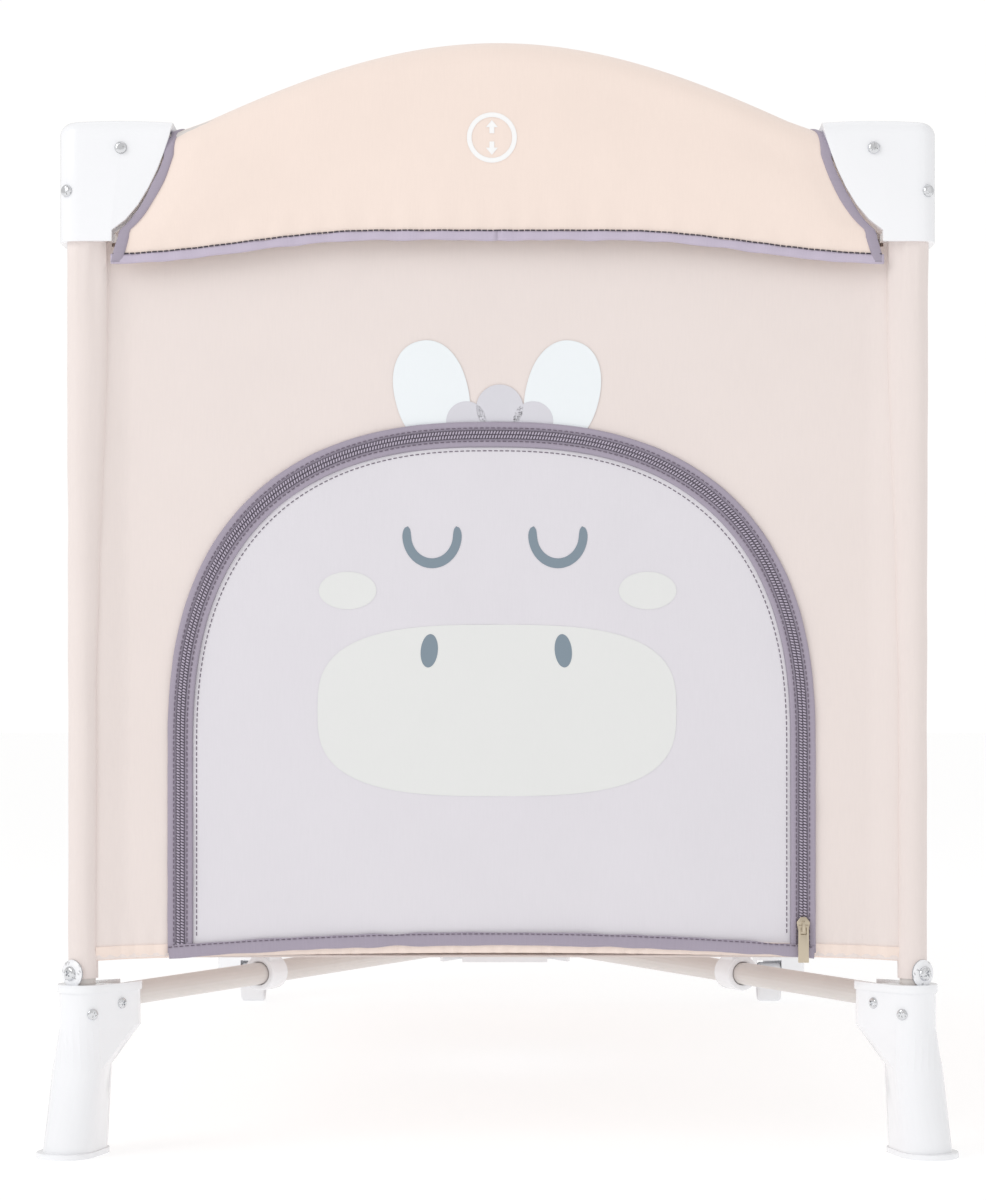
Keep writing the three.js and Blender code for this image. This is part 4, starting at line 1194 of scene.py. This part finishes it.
def facing(out, side, i, rows):
    """Whether a direction points away from the rail under a cover."""
    turn = math.pi * max(0, i - SKIN_ROWS) / (rows - SKIN_ROWS)
    away = SIDES[side][1] * math.cos(turn) + Vector((0, 0, math.sin(turn)))
    return out.dot(away) > 0


def bend_with_rails(piece):
    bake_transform(piece)


class COT_OT_covers(bpy.types.Operator):
    """Make the padded covers over the rails with their bindings and the lock symbol"""

    bl_idname = "cot.covers"
    bl_label = "Rail covers"

    def execute(self, context):
        size = context.scene.cot_sizes
        for side in SIDES:
            for half, sign in (("a", -1), ("b", 1)):
                rows, uvs = cover_rows(side, sign)
                cover = grid(f"{side}_cover_{half}", rows, uvs)
                thicken(cover, 0.0018)
                face_out(cover)
                dress(cover, "Cover satin")
                corner = skin_half(side, 0.0)
                lower = [(sign * corner * i / 70, cover_bottom(corner * i / 70, side)) for i in range(71)]
                surface = lambda a, z, where=side: on_cover(a, z, where)
                hem_line = [(a, z + size.binding * 0.3) for a, z in lower]
                hem = edge_strip(
                    f"{side}_cover_hem_{half}", side, hem_line, lambda a, z: surface(a, z) + 0.0010,
                    size.binding, size.binding_thick, 8.0, 0.30,
                )
                rim_width = size.binding * 1.12
                rim = make_rim(f"{side}_cover_rim_{half}", side, sign, rim_width, size.binding_thick)
                # The stitches above a cover's hem are far darker than the thread: real stitching with painted
                # shade of the stitch line.
                above = [(a, z + size.binding * 0.78) for a, z in lower]
                thread = stitches(
                    f"{side}_cover_thread_{half}", side, above, lambda a, z: surface(a, z) + 0.0016,
                    length=0.0036, width=0.0011,
                )
                dress(hem, "Pale tape")
                dress(rim, "Purple tape")
                dress(thread, "Dark thread")
                for piece in (cover, hem, rim, thread):
                    bend_with_rails(piece)
                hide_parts(f"rail_cover_{side}")
        self.lock_symbol()
        return {"FINISHED"}

    def lock_symbol(self):
        """A ring with an arrow up and an arrow down, printed over the front lock."""
        cx, cz = -0.0040, 0.7570
        out_of = lambda x, z: on_cover(x, z) + 0.0012
        ring_rows, ring_uvs = [], []
        for r in (0.0150, 0.0163, 0.0185):
            turns = spread_over(0, 2 * math.pi, 64)[:-1]
            line = [(cx + r * math.cos(t), cz + r * math.sin(t)) for t in turns]
            ring_rows.append([at("front", x, out_of(x, z), z) for x, z in line])
            ring_uvs.append(line)
        ring = grid("lock_symbol_ring", ring_rows, ring_uvs, wrap=True)
        face_front(ring, "front")
        dress(ring, "Print white")
        pieces = [ring]
        for name, sz in (("up", 1), ("down", -1)):
            head = [(-0.0045, 0.0075), (0.0045, 0.0075), (0.0, 0.0128)]
            stem = [(-0.0018, 0.0030), (0.0018, 0.0030), (0.0018, 0.0076), (-0.0018, 0.0076)]
            points, faces = [], []
            for outline in (head, stem):
                first = len(points)
                points += [at("front", cx + x, out_of(cx + x, cz + sz * z), cz + sz * z) for x, z in outline]
                faces.append(tuple(range(first, len(points))))
            arrow = new_object(f"lock_symbol_{name}", points, faces, [(p.x, p.z) for p in points])
            face_front(arrow, "front")
            pieces.append(dress(arrow, "Print white"))
        for piece in pieces:
            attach(piece, "rail_lock_front")


# ---- floor and mattress -----------------------------------------------------------------
class COT_OT_floor(bpy.types.Operator):
    """Make the floor cloth in four quarters, each riding on a base tube"""

    bl_idname = "cot.floor"
    bl_label = "Floor cloth"

    def execute(self, context):
        wide, long_ = FLOOR_HI.x, FLOOR_HI.y
        middle = (FLOOR_LO.z + FLOOR_HI.z) / 2
        for end, sy in (("front", -1), ("rear", 1)):
            for side, sx in (("left", -1), ("right", 1)):
                rows, uvs = [], []
                for r in range(41):
                    line = [(sx * wide * c / 24, sy * long_ * r / 40) for c in range(25)]
                    rows.append([Vector((x, y, middle + 0.0003 * ripple(x, y, 0.08, 51.0))) for x, y in line])
                    uvs.append(line)
                quarter = grid(f"floor_{end}_{side}", rows, uvs)
                thicken(quarter, 0.0014)
                face_out(quarter)
                dress(quarter, "Floor cloth")
                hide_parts("floor_fabric")
                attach(quarter, f"tube_{end}_{side}")
                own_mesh(quarter)
        return {"FINISHED"}


def swell(obj, cap, voxel, pressure):
    """Blows a pad up by cloth simulation, with a limit on how far its skin may move."""
    apply_modifier(obj, "REMESH", mode="VOXEL", voxel_size=voxel)
    before = [v.co.copy() for v in obj.data.vertices]
    cloth = obj.modifiers.new("Cloth", "CLOTH")
    cloth.settings.use_pressure = True
    cloth.settings.uniform_pressure_force = pressure
    cloth.settings.quality = 4
    cloth.settings.effector_weights.gravity = 0.0
    cloth.point_cache.frame_start = 1
    cloth.point_cache.frame_end = 16
    for number in range(1, 17):
        bpy.context.scene.frame_set(number)
    select_only(obj)
    bpy.ops.object.modifier_apply(modifier=cloth.name)
    for v, old in zip(obj.data.vertices, before):
        move = v.co - old
        if move.length > cap:
            v.co = old + move.normalized() * cap
    bpy.context.scene.frame_set(1)


def box_mesh(name, low, high, bevel):
    bpy.ops.object.select_all(action="DESELECT")
    bpy.ops.mesh.primitive_cube_add(size=1, location=(0, 0, 0))
    obj = bpy.context.object
    obj.name = name
    obj.data.transform(Matrix.Diagonal((*(high - low), 1.0)))
    obj.data.transform(Matrix.Translation((low + high) / 2))
    apply_modifier(obj, "BEVEL", width=bevel, segments=3)
    return obj


def box_uvs(obj):
    """Gives a pad the metres of its plan as its cloth coordinates."""
    layer = obj.data.uv_layers.new(name="cloth")
    for loop in obj.data.loops:
        co = obj.data.vertices[loop.vertex_index].co
        layer.data[loop.index].uv = (co.x + co.z * 0.7, co.y + co.z * 0.7)


class COT_OT_mattress(bpy.types.Operator):
    """Make the folding mattress: four padded panels in one cover"""

    bl_idname = "cot.mattress"
    bl_label = "Mattress"

    def execute(self, context):
        size = context.scene.cot_sizes
        panels = 4
        length = (MAT_HI.y - MAT_LO.y) / panels
        inset = 0.004
        bpy.context.scene.frame_set(1)
        for i in range(panels):
            low = Vector((MAT_LO.x + inset, MAT_LO.y + i * length + 0.003, MAT_LO.z + 0.002))
            high = Vector((MAT_HI.x - inset, MAT_LO.y + (i + 1) * length - 0.003, MAT_HI.z - 0.006))
            pad = box_mesh(f"mattress_panel_{i + 1}", low, high, 0.006)
            swell(pad, size.pad_swell, 0.008, 3.0)
            for v in pad.data.vertices:
                v.co.z = max(v.co.z, MAT_LO.z + 0.0004)
                v.co.x = min(max(v.co.x, MAT_LO.x), MAT_HI.x)
                if v.co.z > (low.z + high.z) / 2:
                    v.co.z += 0.0012 * ripple(v.co.x, v.co.y, 0.06, 61.0 + i)
            apply_modifier(pad, "SUBSURF", levels=1, render_levels=1)
            pad.data.polygons.foreach_set("use_smooth", [True] * len(pad.data.polygons))
            box_uvs(pad)
            dress(pad, "Mattress cloth")
            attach(pad, "mattress")
            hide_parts("mattress")
        return {"FINISHED"}


# ---- fittings ---------------------------------------------------------------------------
def domed_head(name, place, normal, radius, height, recess=None):
    """A round head: a disc whose top is drawn in and rounded, with a cross recess if asked."""
    bpy.ops.object.select_all(action="DESELECT")
    middle = (0, 0, height * 0.2)
    bpy.ops.mesh.primitive_cylinder_add(vertices=32, radius=radius, depth=height * 0.4, location=middle)
    obj = bpy.context.object
    obj.name = name
    bpy.ops.object.transform_apply(location=True, rotation=True, scale=True)
    narrowed = 1.0
    for shrink, rise in ((0.90, 0.30), (0.78, 0.17), (0.60, 0.10), (0.30, 0.03)):
        bpy.ops.object.mode_set(mode="OBJECT")
        top = max(v.co.z for v in obj.data.vertices)
        for face in obj.data.polygons:
            level = all(abs(obj.data.vertices[k].co.z - top) < 1e-7 for k in face.vertices)
            face.select = face.normal.z > 0.99 and level
        bpy.ops.object.mode_set(mode="EDIT")
        bpy.ops.mesh.select_mode(type="FACE")
        bpy.ops.mesh.extrude_region_move(TRANSFORM_OT_translate={"value": (0, 0, height * rise)})
        factor, narrowed = shrink / narrowed, shrink
        bpy.ops.transform.resize(value=(factor, factor, 1), center_override=(0, 0, 0))
    bpy.ops.object.mode_set(mode="OBJECT")
    if recess:
        cut_cross(obj, recess, height)
    turn = Vector((0, 0, 1)).rotation_difference(Vector(normal)).to_matrix().to_4x4()
    obj.data.transform(Matrix.Translation(place) @ turn)
    select_only(obj)
    bpy.ops.object.shade_smooth_by_angle(angle=math.radians(40))
    return obj


def cut_cross(obj, size, height):
    """Sinks a cross for a screwdriver into a head."""
    bars = []
    for dims in ((size, size * 0.28), (size * 0.28, size)):
        bpy.ops.object.select_all(action="DESELECT")
        bpy.ops.mesh.primitive_cube_add(size=1)
        bar = bpy.context.object
        bar.data.transform(Matrix.Diagonal((dims[0], dims[1], height, 1)))
        bar.data.transform(Matrix.Translation((0, 0, height * 1.05)))
        bars.append(bar)
    for bar in bars:
        apply_modifier(obj, "BOOLEAN", operation="DIFFERENCE", object=bar, solver="EXACT")
    for bar in bars:
        bpy.data.objects.remove(bar, do_unlink=True)


def on_surface(obj, eye, target):
    """Where a line from eye towards target meets obj, and the surface's direction there."""
    hit, place, normal, _ = obj.ray_cast(eye, (target - eye).normalized())
    if not hit:
        raise RuntimeError(f"nothing of {obj.name} lies there")
    return place, normal


def soften_top(cap):
    """Round a cap's top edge over its two outer faces and raise its top a little."""
    edge, corner = 0.0085, 0.015
    mesh = bmesh.new()
    mesh.from_mesh(cap.data)
    cuts = [((0, 0, CAP_TOP - edge * (1 - math.sin(math.pi / 2 * k / 7))), (0, 0, 1)) for k in range(7)]
    sx = 1 if sum(v.co.x for v in mesh.verts) > 0 else -1
    sy = 1 if sum(v.co.y for v in mesh.verts) > 0 else -1
    cuts += [((sx * (CAP_X - CAP_ARM * k / 9), 0, 0), (1, 0, 0)) for k in range(1, 9)]
    cuts += [((0, sy * (CAP_Y - CAP_ARM * k / 9), 0), (0, 1, 0)) for k in range(1, 9)]
    for place, normal in cuts:
        parts = mesh.verts[:] + mesh.edges[:] + mesh.faces[:]
        bmesh.ops.bisect_plane(mesh, geom=parts, plane_co=place, plane_no=normal, dist=0.00001)
    for v in mesh.verts:
        up = (v.co.z - (CAP_TOP - edge)) / edge
        if up <= 0:
            continue
        inward = edge * (1 - math.sqrt(max(1 - up * up, 0.0)))
        u, w = abs(v.co.x) - (CAP_X - corner), abs(v.co.y) - (CAP_Y - corner)
        away = math.hypot(max(u, 0.0), max(w, 0.0))
        if away > corner - inward:
            share = (corner - inward) / away
            if u > 0:
                v.co.x = sx * (CAP_X - corner + u * share)
            if w > 0:
                v.co.y = sy * (CAP_Y - corner + w * share)
        run = (CAP_X - abs(v.co.x) + CAP_Y - abs(v.co.y)) / (CAP_ARM * 1.25)
        v.co.z += 0.0024 * up * math.sin(math.pi * min(max(run, 0.0), 1.0))
    mesh.to_mesh(cap.data)
    mesh.free()
    select_only(cap)
    bpy.ops.object.shade_smooth_by_angle(angle=math.radians(38))


class COT_OT_corners(bpy.types.Operator):
    """Round off the corner caps and add their rivets"""

    bl_idname = "cot.corners"
    bl_label = "Corner caps"

    def execute(self, context):
        radius, height = 0.0046, 0.0034
        pivot_height, corner_height = 0.750, 0.7185
        for end, sy in (("front", 1), ("rear", -1)):
            for side, sx in (("left", 1), ("right", -1)):
                cap = finished_copy(f"corner_cap_{end}_{side}", f"cap_shell_{end}_{side}", 0.0018, 3, 50)
                soften_top(cap)
                dress(cap, "White plastic")
                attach(cap, f"corner_{end}_{side}")
                corner = (CAP_X - 0.0065, CAP_Y - 0.0027, corner_height)
                spots = (
                    ((CAP_X - RAIL_PIVOT, CAP_Y, pivot_height), (0, 1, 0)),
                    ((CAP_X, CAP_Y - RAIL_PIVOT, pivot_height), (1, 0, 0)),
                    (corner, (0.5, 0.866, 0)),
                )
                heads = []
                for k, (place, normal) in enumerate(spots):
                    spot = Vector((-place[0] * sx, -place[1] * sy, place[2]))
                    facing_out = Vector((-normal[0] * sx, -normal[1] * sy, 0))
                    sunk = spot - facing_out * 0.0006
                    heads.append(domed_head(f"cap_rivet_{k}", sunk, facing_out, radius, height))
                rivets = join_all(f"cap_rivets_{end}_{side}", heads)
                dress(rivets, "Plated steel")
                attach(rivets, f"corner_{end}_{side}")
        return {"FINISHED"}


class COT_OT_legs(bpy.types.Operator):
    """Round off the legs and add their screws and the washers above them"""

    bl_idname = "cot.legs"
    bl_label = "Legs"

    def execute(self, context):
        for end, sy in (("front", 1), ("rear", -1)):
            for side, sx in (("left", 1), ("right", -1)):
                leg = finished_copy(f"leg_{end}_{side}", f"leg_shell_{end}_{side}", 0.0016, 3, 32)
                dress(leg, "White plastic")
                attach(leg, f"corner_{end}_{side}")
                heads = []
                for k, (x, z) in enumerate(((0.3005, 0.1075), (0.2800, 0.1140))):
                    target = Vector((-x * sx, -CAP_Y * sy * 0.97, z))
                    eye = Vector((-(x - 0.25 * k - 0.02) * sx, -1.6 * sy, z))
                    place, normal = on_surface(leg, eye, target)
                    sunk = place - normal * 0.0004
                    heads.append(domed_head(f"leg_screw_{k}", sunk, normal, 0.0042, 0.0022, recess=0.0044))
                screws = join_all(f"leg_screws_{end}_{side}", heads)
                dress(screws, "Plated steel")
                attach(screws, f"corner_{end}_{side}")
                normal = Vector((-0.574 * sx, -0.819 * sy, 0))
                base = Vector((-POST_X * sx, -POST_Y * sy, 0.1375)) + normal * (POST_R + 0.0013)
                washer = domed_head(f"sleeve_washer_{end}_{side}", base, normal, 0.0102, 0.0030)
                dress(washer, "White plastic")
                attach(washer, f"corner_{end}_{side}")
                on_washer = base + normal * 0.0026
                name = f"sleeve_stud_{end}_{side}"
                stud = domed_head(name, on_washer, normal, 0.0054, 0.0030, recess=0.0050)
                dress(stud, "Plated steel")
                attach(stud, f"corner_{end}_{side}")
        return {"FINISHED"}


class COT_OT_base(bpy.types.Operator):
    """Finish the hub, brackets, tubes, posts, wheels and rail fittings"""

    bl_idname = "cot.base"
    bl_label = "Base and rails"

    def execute(self, context):
        body_of = {n: b for b, ns in frame["record"]["behaviour"]["bodies"].items() for n in ns}
        rounded = {"hub": ("White plastic", "white_plastic", 0.003)}
        for end in ("front", "rear"):
            for side in ("left", "right"):
                rounded[f"base_bracket_{end}_{side}"] = ("White plastic", "white_plastic", 0.0012)
        for side in ("left", "right"):
            rounded[f"wheel_{side}"] = ("Wheel plastic", "wheel_tyre", 0.0008)
        for side in SIDES:
            rounded[f"rail_lock_{side}"] = ("White plastic", "white_plastic", 0.0008)
            rounded[f"release_button_{side}"] = ("White plastic", "white_plastic", 0.0008)
        rounded["zip_slider"] = ("Zip metal", "bright_steel", 0.0004)
        rounded["zip_pull"] = ("Zip metal", "bright_steel", 0.0003)
        rounded["zip_stop"] = ("Zip metal", "bright_steel", 0.0003)
        rounded["hub_strap"] = ("Webbing", "webbing", 0.0004)
        for node, (material, slot_name, bevel) in rounded.items():
            piece = finished_copy(node, f"{node}_finished", bevel)
            if node == "hub_strap":
                box_uvs(piece)
            dress(piece, material)
            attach(piece, body_of[node])
        for node, obj in frame["nodes"].items():
            if node.startswith(("post_", "base_tube", "end_rail", "side_rail")):
                dress_node(obj, "Painted tube")
            elif node.startswith("wheel_axle"):
                dress_node(obj, "Plated steel")
        return {"FINISHED"}


def dress_node(obj, material):
    obj.data.materials.clear()
    obj.data.materials.append(bpy.data.materials[material])


# ---- stage, camera and light ---------------------------------------------------------------
class COT_OT_stage(bpy.types.Operator):
    """Set the pale floor, the soft light and the camera"""

    bl_idname = "cot.stage"
    bl_label = "Stage"

    def execute(self, context):
        scene = context.scene
        bpy.ops.object.select_all(action="DESELECT")
        bpy.ops.mesh.primitive_plane_add(size=60, location=(0, 0, -0.0005))
        floor = context.object
        floor.name = "studio_floor"
        mat, _, shader, _ = start_material("Studio floor")
        shader.inputs["Base Color"].default_value = (0.45, 0.45, 0.45, 1)
        shader.inputs["Roughness"].default_value = 0.9
        shader.inputs["Emission Color"].default_value = (1, 1, 1, 1)
        shader.inputs["Emission Strength"].default_value = 0.62
        floor.data.materials.append(mat)

        world = bpy.data.worlds.new("Studio") if scene.world is None else scene.world
        scene.world = world
        world.use_nodes = True
        back = next(n for n in world.node_tree.nodes if n.type == "BACKGROUND")
        back.inputs["Color"].default_value = (1, 0.992, 0.985, 1)
        rays = world.node_tree.nodes.new("ShaderNodeLightPath")
        level = math_node(world.node_tree, "MULTIPLY_ADD", rays.outputs["Is Camera Ray"], 0.28, 0.74)
        world.node_tree.links.new(level, back.inputs["Strength"])
        for name, place, aim, power, side in (
            ("key", (-2.6, -2.6, 2.2), (0, -0.3, 0.4), 31, 2.0),
            ("fill", (2.6, -2.6, 1.4), (0, 0, 0.4), 3, 2.4),
            ("top", (0.3, 0.4, 3.4), (0, 0, 0.3), 8, 2.6),
        ):
            light = bpy.data.objects.new(name, bpy.data.lights.new(name, "AREA"))
            light.data.energy = power
            light.data.size = side
            light.location = place
            light.rotation_euler = (Vector(aim) - Vector(place)).to_track_quat("-Z", "Y").to_euler()
            scene.collection.objects.link(light)

        camera = bpy.data.objects.new("camera", bpy.data.cameras.new("camera"))
        camera.location = (0.0294, -(CAP_Y + 2.28), 0.340)
        camera.rotation_euler = (math.radians(90), 0, 0)
        camera.data.lens = 92.3
        camera.data.sensor_width = 36
        camera.data.sensor_fit = "AUTO"
        camera.data.shift_x = -0.0367
        camera.data.shift_y = 0.0842
        scene.collection.objects.link(camera)
        scene.camera = camera
        scene.view_settings.view_transform = "Standard"
        return {"FINISHED"}


class COT_PT_panel(bpy.types.Panel):
    """The cot's operators in the sidebar"""

    bl_idname = "COT_PT_panel"
    bl_label = "Travel cot"
    bl_space_type = "VIEW_3D"
    bl_region_type = "UI"
    bl_category = "Cot"

    def draw(self, context):
        for operator in STEPS:
            self.layout.operator(operator.bl_idname)


STEPS = (
    COT_OT_stage,
    COT_OT_materials,
    COT_OT_walls,
    COT_OT_door,
    COT_OT_covers,
    COT_OT_floor,
    COT_OT_mattress,
    COT_OT_corners,
    COT_OT_legs,
    COT_OT_base,
)
CLASSES = (CotFinishes, CotSizes, *STEPS, COT_PT_panel)


def register():
    for cls in CLASSES:
        bpy.utils.register_class(cls)
    bpy.types.Scene.cot_finishes = bpy.props.PointerProperty(type=CotFinishes)
    bpy.types.Scene.cot_sizes = bpy.props.PointerProperty(type=CotSizes)


def unregister():
    del bpy.types.Scene.cot_sizes
    del bpy.types.Scene.cot_finishes
    for cls in reversed(CLASSES):
        bpy.utils.unregister_class(cls)


def main():
    register()
    for operator in STEPS:
        group_name, step = operator.bl_idname.split(".")
        getattr(getattr(bpy.ops, group_name), step)()


if __name__ == "__main__":
    main()
